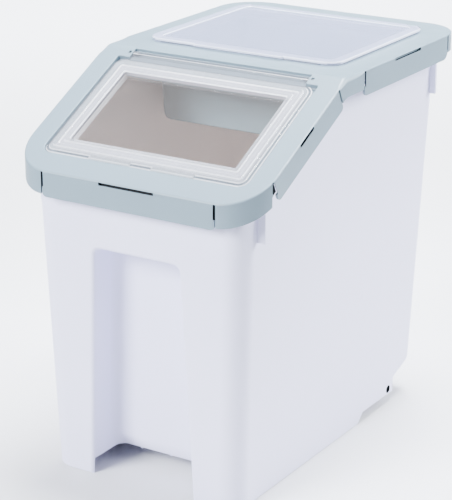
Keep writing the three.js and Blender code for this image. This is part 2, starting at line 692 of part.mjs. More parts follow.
function axleSupports() {
  const pieces = [];
  const { halfTop, neck, halfFoot, foot } = HANGER;
  const hanger = [
    [WHEEL_Y - halfTop, BAY.ceiling + 1],
    [WHEEL_Y - halfTop, neck],
    [WHEEL_Y - halfFoot, foot],
    [WHEEL_Y + halfFoot, foot],
    [WHEEL_Y + halfTop, neck],
    [WHEEL_Y + halfTop, BAY.ceiling + 1],
  ];
  for (const sign of [-1, 1]) {
    const [from, to] = [sign * HANGER.start, sign * HANGER.end].sort((a, b) => a - b);
    const [bossFrom, bossTo] = [sign * BOSS.start, sign * BOSS.end].sort((a, b) => a - b);
    pieces.push(prismX(hanger, from, to));
    pieces.push(rodX(BOSS.radius, bossFrom, bossTo, WHEEL_Y, WHEEL_RADIUS));
  }
  return pieces;
}

function buildTub() {
  const top = DECK_HEIGHT;
  const pan = PAN_UNDERSIDE + TUB_WALL;
  const outer = tubPrism(0, 0, top).intersect(lidBand(RIM_DROP, DECK_HEIGHT * 2));
  const inside = cut(tubPrism(TUB_WALL, pan, top + FAR), recess(TUB_WALL), bay(TUB_WALL));
  const underside = tubPrism(TUB_WALL, -FAR, PAN_UNDERSIDE);
  const shell = cut(join(outer, rim(), ...gussets()), inside, underside, recess(0), bay(0), belowCheeks());
  const axleHole = rodX(AXLE_HOLE_RADIUS, -LID_WIDTH, LID_WIDTH, WHEEL_Y, WHEEL_RADIUS);
  return cut(join(shell, ...panRibs(), ...axleSupports()), axleHole);
}

// ---------------------------------------------------------------- wheels
function wheelGeometry() {
  const bore = AXLE_RADIUS + PIN_CLEARANCE;
  const half = WHEEL_WIDTH / 2;
  const hub = HUB_WIDTH / 2;
  const rimInner = WHEEL_RADIUS - WHEEL_RIM;
  const web = WHEEL_WEB / 2;
  const shoulder = WHEEL_RADIUS - WHEEL_CHAMFER;
  const profile = [
    [bore, -hub], [HUB_RADIUS, -hub], [HUB_RADIUS, -web], [rimInner, -web], [rimInner, -half],
    [shoulder, -half], [WHEEL_RADIUS, -half + WHEEL_CHAMFER], [WHEEL_RADIUS, half - WHEEL_CHAMFER],
    [shoulder, half], [rimInner, half], [rimInner, web], [HUB_RADIUS, web],
    [HUB_RADIUS, hub], [bore, hub], [bore, -hub],
  ].map(([radius, along]) => new THREE.Vector2(radius, along));
  const geometry = new THREE.LatheGeometry(profile, 40);
  geometry.rotateZ(-Math.PI / 2);
  return geometry;
}

// ---------------------------------------------------------------- assembly
const bin = new THREE.Group();
bin.position.y = -LID_DEPTH / 2;

function addPiece(name, manifold, material) {
  const mesh = new THREE.Mesh(toGeometry(manifold), material);
  mesh.name = name;
  bin.add(mesh);
}

addPiece('tub', buildTub(), MATERIALS.tub);
addPiece('axle', rodX(AXLE_RADIUS, -AXLE_HALF, AXLE_HALF, WHEEL_Y, WHEEL_RADIUS), MATERIALS.steel);
for (const [side, sign] of [['left', -1], ['right', 1]]) {
  const wheel = new THREE.Mesh(wheelGeometry(), MATERIALS.wheel);
  wheel.name = `wheel_${side}`;
  wheel.position.set(sign * WHEEL_X, WHEEL_Y, WHEEL_RADIUS);
  bin.add(wheel);
}
addPiece('lid_frame', buildLidFrame(), MATERIALS.lid);
addPiece('lid_seal', buildLidSeal(), MATERIALS.seal);
for (const latch of latchList()) addPiece(latch.name, buildLatch(latch), MATERIALS.lid);
addPiece('treat_tray', buildTreatTray(), MATERIALS.lid);
addPiece('front_door', buildFrontDoor(), MATERIALS.clear);
addPiece('front_door_seal', buildDoorSeal(), MATERIALS.seal);
const doorPins = pinPair('door_hinge_pin', DOOR_PIN, DOOR_AXIS.s, DOOR_AXIS.n, SLOPE_FRAME);
for (const pin of doorPins) addPiece(...pin);
addPiece('rear_cover', buildRearCover(), MATERIALS.clear);
addPiece('rear_cover_seal', buildCoverSeal(), MATERIALS.seal);
const coverPins = pinPair('cover_hinge_pin', COVER_PIN, COVER_AXIS.y, COVER_AXIS.z, null);
for (const pin of coverPins) addPiece(...pin);

export default bin;
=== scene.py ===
"""Looks of the pet food bin: a tapered tub on two rear wheels under a folded lid with a clear flip-up
door, a treat tray under a clear cover, and six hinged latches.

Pieces are built in millimetres in the bin's own frame, with y measured back from the lid's front face,
and moved to the model's frame at the end. On the slope the frame is x, s up the slope from the fold,
and n off its surface."""

import math

import bpy
import bmesh
from mathutils import Matrix, Vector


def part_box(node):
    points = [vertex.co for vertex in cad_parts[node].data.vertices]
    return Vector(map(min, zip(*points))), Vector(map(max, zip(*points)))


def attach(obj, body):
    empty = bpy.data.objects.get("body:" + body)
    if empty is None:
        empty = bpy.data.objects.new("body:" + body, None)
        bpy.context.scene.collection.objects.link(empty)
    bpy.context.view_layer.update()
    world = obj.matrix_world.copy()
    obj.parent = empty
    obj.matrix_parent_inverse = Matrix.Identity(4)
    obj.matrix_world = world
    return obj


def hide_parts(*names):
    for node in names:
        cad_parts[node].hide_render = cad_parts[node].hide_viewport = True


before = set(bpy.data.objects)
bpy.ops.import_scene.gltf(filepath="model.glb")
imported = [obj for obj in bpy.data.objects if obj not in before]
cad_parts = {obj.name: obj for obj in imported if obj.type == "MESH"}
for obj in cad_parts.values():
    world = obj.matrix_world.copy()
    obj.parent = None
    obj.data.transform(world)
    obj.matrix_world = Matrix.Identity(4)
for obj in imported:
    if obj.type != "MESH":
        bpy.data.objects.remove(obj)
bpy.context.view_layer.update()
MM = 0.001

# ---------------------------------------------------------------- sizes, in millimetres
LID_LOW, LID_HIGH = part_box("lid_frame")
FRONT_Y = LID_LOW.y
HALF_WIDTH = LID_HIGH.x / MM
LID_DEPTH = (LID_HIGH.y - LID_LOW.y) / MM
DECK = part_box("treat_tray")[1].z / MM
LID_WALL = 2.4
GAP = 0.35
CLEARANCE = 0.3  # round the pins and the axle
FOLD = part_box("front_latch")[1].z / MM + GAP + LID_WALL
BEND_Y = 152.5
BEND_HALF = 3.0
SLOPE = math.atan2(DECK - FOLD, BEND_Y)
TAN, COS, SIN = math.tan(SLOPE), math.cos(SLOPE), math.sin(SLOPE)
LID_CORNER = 39
LID_FILLET = 1.4
BEND_FILLET = 5  # of the side's upper edge beside the bend
LATCH_DEPTH, FRONT_SKIRT, REAR_SKIRT = 23, 21, 17
LATCH_WALL, LATCH_SLIT = 2.2, 1.1
LATCH_CORNER, DECK_LATCH_CORNER = 4, 8  # the larger one is on the deck latches' rear ends
UNDERCUT = 2.6  # the hinge slots and the slits widen behind the latch's face, over this depth
STOP_DEPTHS = (3.3, 4.9)  # how far in the ribs behind the latches' gaps start and end
FRONT_LATCH_LENGTH, REAR_LATCH_LENGTH = 174.8, 172
SLOPE_LATCH = (32, 139)
DECK_LATCH = (184.6, 348)
HINGE_SLOTS = {"front": 55.6, "rear": 55.6, "slope": 24.5, "deck": 50}
HINGE_SLOT_SILL = 0.8  # below the upper edge of the latch
NOTCH_TOP, NOTCH_DEPTH = 1.7, 2.6  # the slots and slits run this far up into the edge of the lid's plate
FAR = 60  # a drop or a reach that clears the lid
ACROSS = (-200, 200)  # an x range past both sides
PAST_REAR = 500

DOOR_HALF, DOOR_START, DOOR_END = 103.2, 24, 155
DOOR_LOW_CORNER, DOOR_HIGH_CORNER, DOOR_CLEARANCE = 9.5, 12, 0.8
AXIS_S, AXIS_N, BARREL_RADIUS, BARREL_HALF = 163.5, -2.2, 2.4, 91
TROUGH_RADIUS, TROUGH_BACK = 3.3, 168.6
PIN_RADIUS, PIN_START, PIN_END = 1.3, 86, 97

TRAY_HALF, TRAY_FRONT, TRAY_BACK, TRAY_CORNER = 93.9, 187, 340, 6
TRAY_BOTTOM, TRAY_WALL, TRAY_DRAFT, TRAY_FLANGE = 286, 2, 3, 3.7
FLANGE_THICKNESS = 1.7
TRAY_FOOT = 6.5  # rounding between its sides and its floor

COVER_HALF, COVER_FRONT, COVER_BACK, COVER_CORNER, COVER_RISE = 100, 178, 351.85, 16, 4
COVER_AXIS_Y, COVER_AXIS_Z, COVER_BARREL = 350, DECK + 2.15, 1.85
WIDE_FACE = 10000  # square millimetres; of the clear faces only the pane and the cover's middle are larger
COVER_POST, COVER_PIN, COVER_PIN_BORE = (82.4, 89.6), (77.7, 94.3), 1.2

TUB_TOP = 361.5
TUB_FOOT_HALF, TUB_FOOT_FRONT, TUB_FOOT_BACK = 98.3, 17.5, 350  # the tub's outline at the floor
SIDE_FLARE, FRONT_FLARE, BACK_FLARE = 13.2, 8.2, 14  # how much further out it is at TUB_TOP
TUB_WALL, TUB_CORNER, PAN = 2.4, 20, 15
RIM_DROP, RIM_ROOT = 5, (104, 17, 356, 14)
GUSSET_YS, GUSSET_THICKNESS, GUSSET_DROP = (34.4, 343), 3, 57
RIB_HALF, RIB_FOOT, RIB_SPAN, RIBS_BACK = 0.9, 12, 97.3, 276
RECESS_TOP, RECESS_HALF_TOP, RECESS_LEAN, RECESS_CORNER = 218, 43.5, 9.5 / 218, 6
RECESS_FOOT, RECESS_FOOT_BACK = (13, 31), (62, 50)  # heights of its foot's bevel, and its rear face there
RECESS_SLANT = 4.5  # how much nearer the front its rear face is at its top
RECESS_LEVELS = (-30, 8, 13, 18, 23, 27, 31, 60, 95, 130, 165, 190)
WHEEL_Y, WHEEL_RADIUS, WHEEL_X = 297.7, 15, 71
AXLE_RADIUS, AXLE_HALF, COUNTERBORE = 2.75, 90, 4
WHEEL_HOLES, WHEEL_HOLE_RING, WHEEL_HOLE_RADIUS = 5, 9.2, 1.7
BAY_START, BAY_CEILING, BAY_HALF = 278, 36, 95.7
HANGER_X, BOSS_X, BOSS_RADIUS = (58.5, 61), (81, 96.5), 6

TO_MODEL = Matrix.Translation((0, FRONT_Y, 0)) @ Matrix.Scale(MM, 4)
SLOPE_FRAME = Matrix((
    (1, 0, 0, 0),
    (0, COS, -SIN, 0),
    (0, SIN, COS, FOLD),
    (0, 0, 0, 1),
))


# ---------------------------------------------------------------- outlines
def lid_z(y, drop=0.0):
    """Height of the lid's folded surface, with a soft bend, lowered by drop."""
    if y <= BEND_Y - BEND_HALF:
        return FOLD + y * TAN - drop
    if y >= BEND_Y + BEND_HALF:
        return DECK - drop
    return DECK - TAN * (BEND_Y + BEND_HALF - y) ** 2 / (4 * BEND_HALF) - drop


BEND_YS = [BEND_Y + BEND_HALF * k for k in (-1, -0.5, 0, 0.5, 1)]
BEND_SIDE_YS = [139, 142, 146] + BEND_YS + [160, 168, 175, 180, 184]


def half_rectangle(half, front, back, front_radius, back_radius=None, side_ys=(), steps=8):
    """The right-hand half of a rounded rectangle, from its front corner round to its back corner."""
    back_radius = front_radius if back_radius is None else back_radius
    quarter = [math.pi / 2 * k / steps for k in range(steps + 1)]
    points = [(half - front_radius + front_radius * math.sin(a),
               front + front_radius - front_radius * math.cos(a)) for a in quarter]
    points += [(half, y) for y in side_ys]
    points += [(half - back_radius + back_radius * math.cos(a),
                back - back_radius + back_radius * math.sin(a)) for a in quarter]
    return points


def mirrored(right):
    """A whole ring from its right-hand half, which runs from front to back."""
    return right + [(-x, y, z) for x, y, z in reversed(right)]


def flat_ring(half_points, height):
    """A ring at one height, or at the height that height(x, y) gives."""
    level = height if callable(height) else (lambda x, y: height)
    return mirrored([(x, y, level(x, y)) for x, y in half_points])


# ---------------------------------------------------------------- solids
def add_object(name, bm):
    bmesh.ops.remove_doubles(bm, verts=bm.verts, dist=1e-5)
    bmesh.ops.recalc_face_normals(bm, faces=bm.faces)
    mesh = bpy.data.meshes.new(name)
    bm.to_mesh(mesh)
    bm.free()
    obj = bpy.data.objects.new(name, mesh)
    bpy.context.scene.collection.objects.link(obj)
    return obj


def loft(rings, move=None, closed=False):
    """A solid through mirrored rings. Its ends are capped straight across, or joined if it is closed."""
    bm = bmesh.new()
    rows = [[bm.verts.new(p) for p in ring] for ring in rings]
    count = len(rows[0])
    pairs = list(zip(rows, rows[1:] + rows[:1])) if closed else list(zip(rows, rows[1:]))
    for low, high in pairs:
        for i in range(count):
            j = (i + 1) % count
            bm.faces.new((low[i], low[j], high[j], high[i]))
    if not closed:
        for row in (rows[0], rows[-1]):
            for i in range(count // 2 - 1):
                bm.faces.new((row[i], row[i + 1], row[count - 2 - i], row[count - 1 - i]))
    if move:
        bm.transform(move)
    return add_object("solid", bm)


def extrude(points, start, end, axis, move=None):
    """A prism: points (a, b) become (y, z) along x, (x, z) along y or (x, y) along z."""
    place = {
        "x": lambda a, b, t: (t, a, b),
        "y": lambda a, b, t: (a, t, b),
        "z": lambda a, b, t: (a, b, t),
    }[axis]
    bm = bmesh.new()
    low = [bm.verts.new(place(a, b, start)) for a, b in points]
    high = [bm.verts.new(place(a, b, end)) for a, b in points]
    bm.faces.new(low)
    bm.faces.new(high)
    for i in range(len(points)):
        j = (i + 1) % len(points)
        bm.faces.new((low[i], low[j], high[j], high[i]))
    if move:
        bm.transform(move)
    return add_object("solid", bm)


def box(x, y, z, move=None):
    return extrude([(x[0], y[0]), (x[1], y[0]), (x[1], y[1]), (x[0], y[1])], z[0], z[1], "z", move=move)


def circle(a, b, radius, count=32):
    return [(a + radius * math.cos(t), b + radius * math.sin(t))
            for t in (2 * math.pi * k / count for k in range(count))]


def rod(radius, x, a, b, move=None, count=32):
    return extrude(circle(a, b, radius, count), x[0], x[1], "x", move=move)


def both_sides(near, far):
    """The two x ranges from near to far, on the left and on the right."""
    return [(-far, -near), (near, far)]


def combine(target, operation, *tools):
    """Booleans each tool with target, and removes it."""
    for tool in tools:
        modifier = target.modifiers.new("combine", "BOOLEAN")
        modifier.operation = operation
        modifier.solver = "EXACT"
        modifier.object = tool
        graph = bpy.context.evaluated_depsgraph_get()
        mesh = bpy.data.meshes.new_from_object(target.evaluated_get(graph))
        target.modifiers.clear()
        target.data = mesh
        bpy.data.objects.remove(tool)
    return target


def unite(target, *tools):
    return combine(target, "UNION", *tools)


def cut(target, *tools):
    return combine(target, "DIFFERENCE", *tools)


def above_lid(drop):
    """Everything above the lid's surface lowered by drop."""
    ys = [-FAR] + BEND_YS + [LID_DEPTH + FAR]
    line = [(y, lid_z(y, drop)) for y in ys]
    high = DECK + 4 * FAR
    return extrude(line + [(LID_DEPTH + FAR, high), (-FAR, high)], -2 * HALF_WIDTH, 2 * HALF_WIDTH, "x")


def finish(obj, name, body, material, stands_for, edge, sharp=35):
    """Cleans a finished solid, rounds its edges, moves it to the model's frame and rides it."""
    bm = bmesh.new()
    bm.from_mesh(obj.data)
    bmesh.ops.remove_doubles(bm, verts=bm.verts, dist=2e-3)
    bmesh.ops.dissolve_degenerate(bm, edges=bm.edges, dist=2e-3)
    bmesh.ops.dissolve_limit(bm, angle_limit=math.radians(0.3), verts=bm.verts, edges=bm.edges)
    bmesh.ops.recalc_face_normals(bm, faces=bm.faces)
    bm.transform(TO_MODEL)
    bm.to_mesh(obj.data)
    bm.free()
    obj.name = name
    obj.data.name = name
    obj.data.materials.clear()
    obj.data.materials.append(material)
    obj.data.polygons.foreach_set("use_smooth", [True] * len(obj.data.polygons))
    obj.data.set_sharp_from_angle(angle=math.radians(sharp))
    if edge:
        bevel = obj.modifiers.new("rounded edges", "BEVEL")
        bevel.width = edge * MM
        bevel.segments = 2
        bevel.limit_method = "ANGLE"
        bevel.angle_limit = math.radians(sharp)
        bevel.harden_normals = True
        bevel.miter_outer = "MITER_ARC"
    normals = obj.modifiers.new("face weighted normals", "WEIGHTED_NORMAL")
    normals.keep_sharp = True
    normals.weight = 80
    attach(obj, body)
    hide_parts(*stands_for)
    return obj


def inlay(obj, material, chooses):
    """Gives another material to the faces that chooses(spot, normal, area) accepts, in the bin's frame."""
    obj.data.materials.append(material)
    index = len(obj.data.materials) - 1
    to_bin = TO_MODEL.inverted()
    for face in obj.data.polygons:
        ends = [obj.data.vertices[i].co for i in face.vertices[:2]]
        spot = to_bin @ ((ends[0] + ends[1]) / 2)
        if chooses(spot, face.normal, face.area / MM ** 2):
            face.material_index = index


# ---------------------------------------------------------------- materials
def new_material(name):
    material = bpy.data.materials.new(name)
    material.use_nodes = True
    nodes = material.node_tree.nodes
    return material, nodes, material.node_tree.links, nodes["Principled BSDF"]


def add_noise(nodes, links, scale, detail):
    place = nodes.new("ShaderNodeTexCoord")
    noise = nodes.new("ShaderNodeTexNoise")
    noise.inputs["Scale"].default_value = scale
    noise.inputs["Detail"].default_value = detail
    noise.inputs["Roughness"].default_value = 0.55
    links.new(place.outputs["Object"], noise.inputs["Vector"])
    return noise.outputs["Fac"]


def add_ramp(nodes, links, source, low, high):
    ramp = nodes.new("ShaderNodeValToRGB")
    for element, position, colour in zip(ramp.color_ramp.elements, (0.3, 0.7), (low, high)):
        element.position = position
        element.color = colour
    links.new(source, ramp.inputs["Fac"])
    return ramp.outputs["Color"]


def add_range(nodes, links, source, low, high):
    spread = nodes.new("ShaderNodeMapRange")
    spread.inputs["To Min"].default_value = low
    spread.inputs["To Max"].default_value = high
    links.new(source, spread.inputs["Value"])
    return spread.outputs["Result"]


def add_bump(nodes, links, source, strength, distance):
    bump = nodes.new("ShaderNodeBump")
    bump.inputs["Strength"].default_value = strength
    bump.inputs["Distance"].default_value = distance
    links.new(source, bump.inputs["Height"])
    return bump.outputs["Normal"]


def shade(colour, share):
    return (colour[0] * share, colour[1] * share, colour[2] * share, 1)


def moulded_plastic(name, colour, roughness, grain, variation, bump, specular=0.45):
    """Injection-moulded plastic: a faint cloudy tone, a fine satin grain and slightly uneven gloss."""
    material, nodes, links, shader = new_material(name)
    cloud = add_noise(nodes, links, 14, 5)
    tone = add_ramp(nodes, links, cloud, shade(colour, 1 - variation), shade(colour, 1 + variation))
    links.new(tone, shader.inputs["Base Color"])
    fine = add_noise(nodes, links, grain, 2)
    links.new(add_range(nodes, links, add_noise(nodes, links, 60, 6), roughness - 0.06, roughness + 0.08),
              shader.inputs["Roughness"])
    links.new(add_bump(nodes, links, fine, bump, 0.0002), shader.inputs["Normal"])
    shader.inputs["Specular IOR Level"].default_value = specular
    return material


def clear_plastic(name, colour, faint, strong, roughness=0.12):
    """Clear moulded plastic: mostly see-through face on, milky and glossy at a glance."""
    material, nodes, links, shader = new_material(name)
    tone = add_ramp(nodes, links, add_noise(nodes, links, 25, 4), shade(colour, 0.97), shade(colour, 1.02))
    links.new(tone, shader.inputs["Base Color"])
    weight = nodes.new("ShaderNodeLayerWeight")
    weight.inputs["Blend"].default_value = 0.35
    haze = add_range(nodes, links, weight.outputs["Facing"], faint, strong)
    cloud = add_range(nodes, links, add_noise(nodes, links, 18, 3), 0.92, 1.08)
    product = nodes.new("ShaderNodeMath")
    product.operation = "MULTIPLY"
    product.use_clamp = True
    links.new(haze, product.inputs[0])
    links.new(cloud, product.inputs[1])
    links.new(product.outputs["Value"], shader.inputs["Alpha"])
    links.new(add_range(nodes, links, add_noise(nodes, links, 90, 5), roughness - 0.04, roughness + 0.06),
              shader.inputs["Roughness"])
    links.new(add_bump(nodes, links, add_noise(nodes, links, 35, 2), 0.04, 0.0006), shader.inputs["Normal"])
    shader.inputs["Specular IOR Level"].default_value = 0.7
    return material


TUB_PLASTIC = moulded_plastic("tub_plastic", (0.78, 0.775, 0.99), 0.45, 700, 0.012, 0.06)
# A warmer, brighter copy of the tub plastic for its inner faces: painted warm light, standing in for light
# glowing through the walls into the dim inside.
TUB_INSIDE_WARM_LIGHT = moulded_plastic("tub_inside_painted_warm_light", (0.97, 0.875, 0.83), 0.5, 700, 0.02, 0.06)
LID_PLASTIC = moulded_plastic("lid_plastic", (0.168, 0.232, 0.276), 0.36, 900, 0.02, 0.06)
# Near-black painted shade for the faces inside the latches' slots and slits, the ribs behind them and the
# axle's counterbores: it stands in for the shadow in those gaps.
GAP_SHADE_PLASTIC = moulded_plastic("painted_gap_shade_plastic", (0.012, 0.014, 0.016), 0.6, 900, 0.05, 0.06, 0.2)
TRAY_PLASTIC = moulded_plastic("tray_plastic", (0.175, 0.24, 0.27), 0.36, 900, 0.02, 0.06)
DOOR_PLASTIC = clear_plastic("door_plastic", (0.19, 0.20, 0.225), 0.16, 0.5)
# Near-white, more opaque clear plastic for the door's step edges: painted highlight lines along them.
DOOR_HIGHLIGHT_PLASTIC = clear_plastic("door_painted_highlight_plastic", (0.92, 0.93, 0.97), 0.6, 0.9)
# A lighter, hazier copy of the door plastic for the frame's up-facing flats: painted highlight on the steps.
DOOR_BAND_HIGHLIGHT_PLASTIC = clear_plastic("door_band_painted_highlight", (0.46, 0.475, 0.51), 0.3, 0.6)
# A faint haze on the pane, partly its own, partly painted warm light that brightens the dim inside seen
# through it.
PANE_HAZE_AND_GLOW_PLASTIC = clear_plastic("door_pane_plastic", (0.42, 0.38, 0.36), 0.012, 0.12, 0.08)
COVER_PLASTIC = clear_plastic("cover_plastic", (0.34, 0.38, 0.54), 0.22, 0.7)
COVER_BAND_PLASTIC = clear_plastic("cover_band_plastic", (0.48, 0.51, 0.70), 0.3, 0.75)
# Dark clear plastic for the cover's outer wall just above the deck: a painted shadow line round its foot.
COVER_SHADOW_LINE_PLASTIC = clear_plastic("cover_painted_shadow_line_plastic", (0.10, 0.11, 0.17), 0.7, 0.9)
# Near-white clear plastic for the cover's rim: a painted highlight along it.
COVER_HIGHLIGHT_PLASTIC = clear_plastic("cover_painted_highlight_plastic", (0.80, 0.83, 0.95), 0.5, 0.9)
CLEAR_SILICONE = moulded_plastic("clear_silicone", (0.50, 0.50, 0.58), 0.5, 1200, 0.03, 0.1, 0.35)
# A dark silicone seal, made this near-black also as painted shade, so the gaps behind the latches' slots read
# dark.
DARK_SEAL_AND_SHADE_SILICONE = moulded_plastic("dark_silicone_seal_shade", (0.045, 0.05, 0.055), 0.6, 1200, 0.06, 0.1, 0.3)
WHEEL_PLASTIC = moulded_plastic("wheel_plastic", (0.028, 0.029, 0.031), 0.5, 800, 0.1, 0.12)


def steel_material():
    material, nodes, links, shader = new_material("pin_steel")
    cloud = add_noise(nodes, links, 220, 5)
    links.new(add_ramp(nodes, links, cloud, (0.16, 0.165, 0.175, 1), (0.24, 0.245, 0.255, 1)),
              shader.inputs["Base Color"])
    links.new(add_range(nodes, links, cloud, 0.28, 0.42), shader.inputs["Roughness"])
    links.new(add_bump(nodes, links, add_noise(nodes, links, 1500, 2), 0.1, 0.0001), shader.inputs["Normal"])
    shader.inputs["Metallic"].default_value = 1.0
    return material


STEEL = steel_material()


# ---------------------------------------------------------------- tub
def tub_half(z):
    return TUB_FOOT_HALF + SIDE_FLARE * z / TUB_TOP


def tub_front(z):
    return TUB_FOOT_FRONT - FRONT_FLARE * z / TUB_TOP


def tub_back(z):
    return TUB_FOOT_BACK + BACK_FLARE * z / TUB_TOP


def tub_ring(z, inset):
    """The tub's outline at height z, set in by inset."""
    points = half_rectangle(tub_half(z) - inset, tub_front(z) + inset, tub_back(z) - inset,
                            TUB_CORNER - min(inset, TUB_CORNER - 3), side_ys=BEND_YS, steps=10)
    return flat_ring(points, z)


def recess_back(z):
    """The recess's rear face leans, with a bevel along its foot."""
    low, high = RECESS_FOOT
    deep, shallow = RECESS_FOOT_BACK
    if z >= high:
        return shallow - RECESS_SLANT * (z - high) / (RECESS_TOP - high)
    return deep if z <= low else deep - (deep - shallow) * (z - low) / (high - low)


def recess_tool(grow, edge_radius):
    """The hollow in the tub's front, with rounded outer edges and soft inner corners."""
    hollow_radius = 9 + grow

    def ring(spread, y_of):
        radius = max(RECESS_CORNER + spread, 0.6)
        centre_z = RECESS_TOP + spread - radius
        right = [(RECESS_HALF_TOP + RECESS_LEAN * (RECESS_TOP - z) + spread, y_of(z), z)
                 for z in RECESS_LEVELS]
        centre_x = RECESS_HALF_TOP + RECESS_LEAN * radius + spread - radius
        for k in range(9):
            angle = math.pi / 2 * k / 8
            z = centre_z + radius * math.sin(angle)
            right.append((centre_x + radius * math.cos(angle), y_of(z), z))
        return mirrored(right)

    rings = [ring(grow + edge_radius, lambda z: tub_front(z) - 4)]
    for k in range(7 if edge_radius else 0):
        angle = math.pi / 2 * k / 6
        depth = edge_radius * (1 - math.cos(angle)) - 0.02
        rings.append(ring(grow + edge_radius * (1 - math.sin(angle)), lambda z, d=depth: tub_front(z) + d))
    for k in range(10):
        angle = math.pi / 2 * k / 9
        short = hollow_radius * (1 - math.sin(angle))
        rings.append(ring(grow - hollow_radius * (1 - math.cos(angle)),
                          lambda z, d=short: recess_back(z) + grow - d))
    return loft(rings)


def faces_inside(spot, normal, area):
    """True for the tub's inner faces, which take the painted warm interior light: the space just off them is
    inside the tub and above its floor.
    """
    x, y, z = spot + normal * 0.5
    wall = TUB_WALL - 0.1
    past_x = max(abs(x) - tub_half(z) + TUB_CORNER, 0)
    past_y = max(tub_front(z) + TUB_CORNER - y, y - tub_back(z) + TUB_CORNER, 0)
    if z < PAN + wall or math.hypot(past_x, past_y) > TUB_CORNER - wall:
        return False
    in_recess = z < RECESS_TOP + 1 and y < recess_back(z) + 1 and (
        abs(x) < RECESS_HALF_TOP + RECESS_LEAN * (RECESS_TOP - z) + 1)
    in_bay = z < BAY_CEILING + 1 and y > BAY_START - 1
    return not in_recess and not in_bay


def tub_rim():
    """The rim that turns out and down under the lid."""
    def ring(inset, drop):
        points = half_rectangle(HALF_WIDTH - inset, inset, LID_DEPTH - inset, LID_CORNER - inset,
                                side_ys=BEND_YS, steps=10)
        return flat_ring(points, lambda x, y: lid_z(y, drop))

    def root(drop):
        points = half_rectangle(*RIM_ROOT, side_ys=BEND_YS, steps=10)
        return flat_ring(points, lambda x, y: lid_z(y, drop))

    return loft([ring(7, 12), ring(7, 5.9), ring(7.25, 5.3), ring(7.9, 5), root(5), root(7.4), ring(9.2, 7.4),
                 ring(9.2, 12)], closed=True)


def gussets():
    """Plates across the tub's width, whose ends stand out on both sides under the rim."""
    half = HALF_WIDTH - 9.4
    plates = []
    for y in GUSSET_YS:
        plate = box((-half, half), (y, y + GUSSET_THICKNESS), (lid_z(y, GUSSET_DROP), DECK))
        cut(plate, above_lid(RIM_DROP + 1))
        plates.append(plate)
    return plates


def tub_room():
    """The room for food, which goes round the recess and the wheel bay."""
    floor = PAN + TUB_WALL
    room = loft([tub_ring(floor, TUB_WALL + 7), tub_ring(floor + 0.8, TUB_WALL + 4),
                 tub_ring(floor + 2.4, TUB_WALL + 1.6), tub_ring(floor + 6, TUB_WALL),
                 tub_ring(430, TUB_WALL)])
    cut(room, recess_tool(TUB_WALL, 0))
    return cut(room, box(ACROSS, (BAY_START - TUB_WALL, PAST_REAR), (-FAR, BAY_CEILING + TUB_WALL)))


def floor_ribs():
    """Ribs under the tub's floor, along it and across it, and the one across the front of the wheel bay."""
    heights = (RIB_FOOT, PAN + 1)
    across = (-RIB_SPAN, RIB_SPAN)
    ribs = [box((x - RIB_HALF, x + RIB_HALF), (64, RIBS_BACK), heights) for x in (-64, -32, 0, 32, 64)]
    ribs += [box(across, (y - RIB_HALF, y + RIB_HALF), heights) for y in (130, 203)]
    return ribs + [box(across, (RIBS_BACK - 2 * RIB_HALF, RIBS_BACK), (RIB_FOOT, BAY_CEILING + 1))]


def axle_supports():
    """The hangers inside the wheel bay and the bosses on its cheeks, before they are bored."""
    outline = [(WHEEL_Y - 17, 37), (WHEEL_Y - 17, 24), (WHEEL_Y - 7, 8), (WHEEL_Y + 7, 8), (WHEEL_Y + 17, 24),
               (WHEEL_Y + 17, 37)]
    hangers = [extrude(outline, x[0], x[1], "x") for x in both_sides(*HANGER_X)]
    return hangers + [rod(BOSS_RADIUS, x, WHEEL_Y, WHEEL_RADIUS) for x in both_sides(*BOSS_X)]


def build_tub():
    """A tapered shell with its rim, gussets, front recess, wheel bay and what carries the axle."""
    body = loft([tub_ring(0, 1.2), tub_ring(0.6, 0.6), tub_ring(1.2, 0), tub_ring(400, 0)])
    cut(body, above_lid(RIM_DROP))
    unite(body, tub_rim(), *gussets())

    underside = loft([tub_ring(-20, TUB_WALL), tub_ring(PAN, TUB_WALL)])
    below_cheeks = extrude([(236, -1), (LID_DEPTH, -1), (LID_DEPTH, BAY_CEILING), (338, BAY_CEILING),
                            (334, 34.5), (307, 25), (307, 10), (246, 10), (236, 0)], *ACROSS, "x")
    bay = box((-BAY_HALF, BAY_HALF), (BAY_START, PAST_REAR), (-FAR, BAY_CEILING))
    cut(body, tub_room(), underside, recess_tool(0, 4), bay, below_cheeks)

    unite(body, *floor_ribs(), *axle_supports())
    cut(body, rod(AXLE_RADIUS + 0.35, ACROSS, WHEEL_Y, WHEEL_RADIUS))
    cut(body, *[rod(COUNTERBORE, x, WHEEL_Y, WHEEL_RADIUS) for x in both_sides(92, 200)])
    shell = finish(body, "tub_shell", "tub", TUB_PLASTIC, ["tub"], edge=0.5)
    # The inner faces take a warmer copy of the tub plastic: painted warm interior light.
    inlay(shell, TUB_INSIDE_WARM_LIGHT, faces_inside)
    # The axle's counterbores take the painted gap shade, a dark spot where shadow falls in the hole.
    inlay(shell, GAP_SHADE_PLASTIC,
          lambda spot, normal, area: math.hypot(spot.y - WHEEL_Y, spot.z - WHEEL_RADIUS) < COUNTERBORE + 0.1)


# ---------------------------------------------------------------- lid
def lid_ring(inset, drop, side_fillet=0.0, turn=0.0):
    """One level of the lid's outline. Beside the bend the upper edge is rounded more by side_fillet."""
    start, end = BEND_SIDE_YS[0], BEND_SIDE_YS[-1]
    right = []
    for x, y in half_rectangle(HALF_WIDTH - inset, inset, LID_DEPTH - inset, LID_CORNER - inset,
                               side_ys=BEND_SIDE_YS, steps=12):
        swell = 0.0
        if side_fillet and start < y < end:
            swell = side_fillet * math.sin(math.pi * (y - start) / (end - start)) ** 0.5
        right.append((x - swell * (1 - math.cos(turn)), y, lid_z(y, drop + swell * (1 - math.sin(turn)))))
    return mirrored(right)


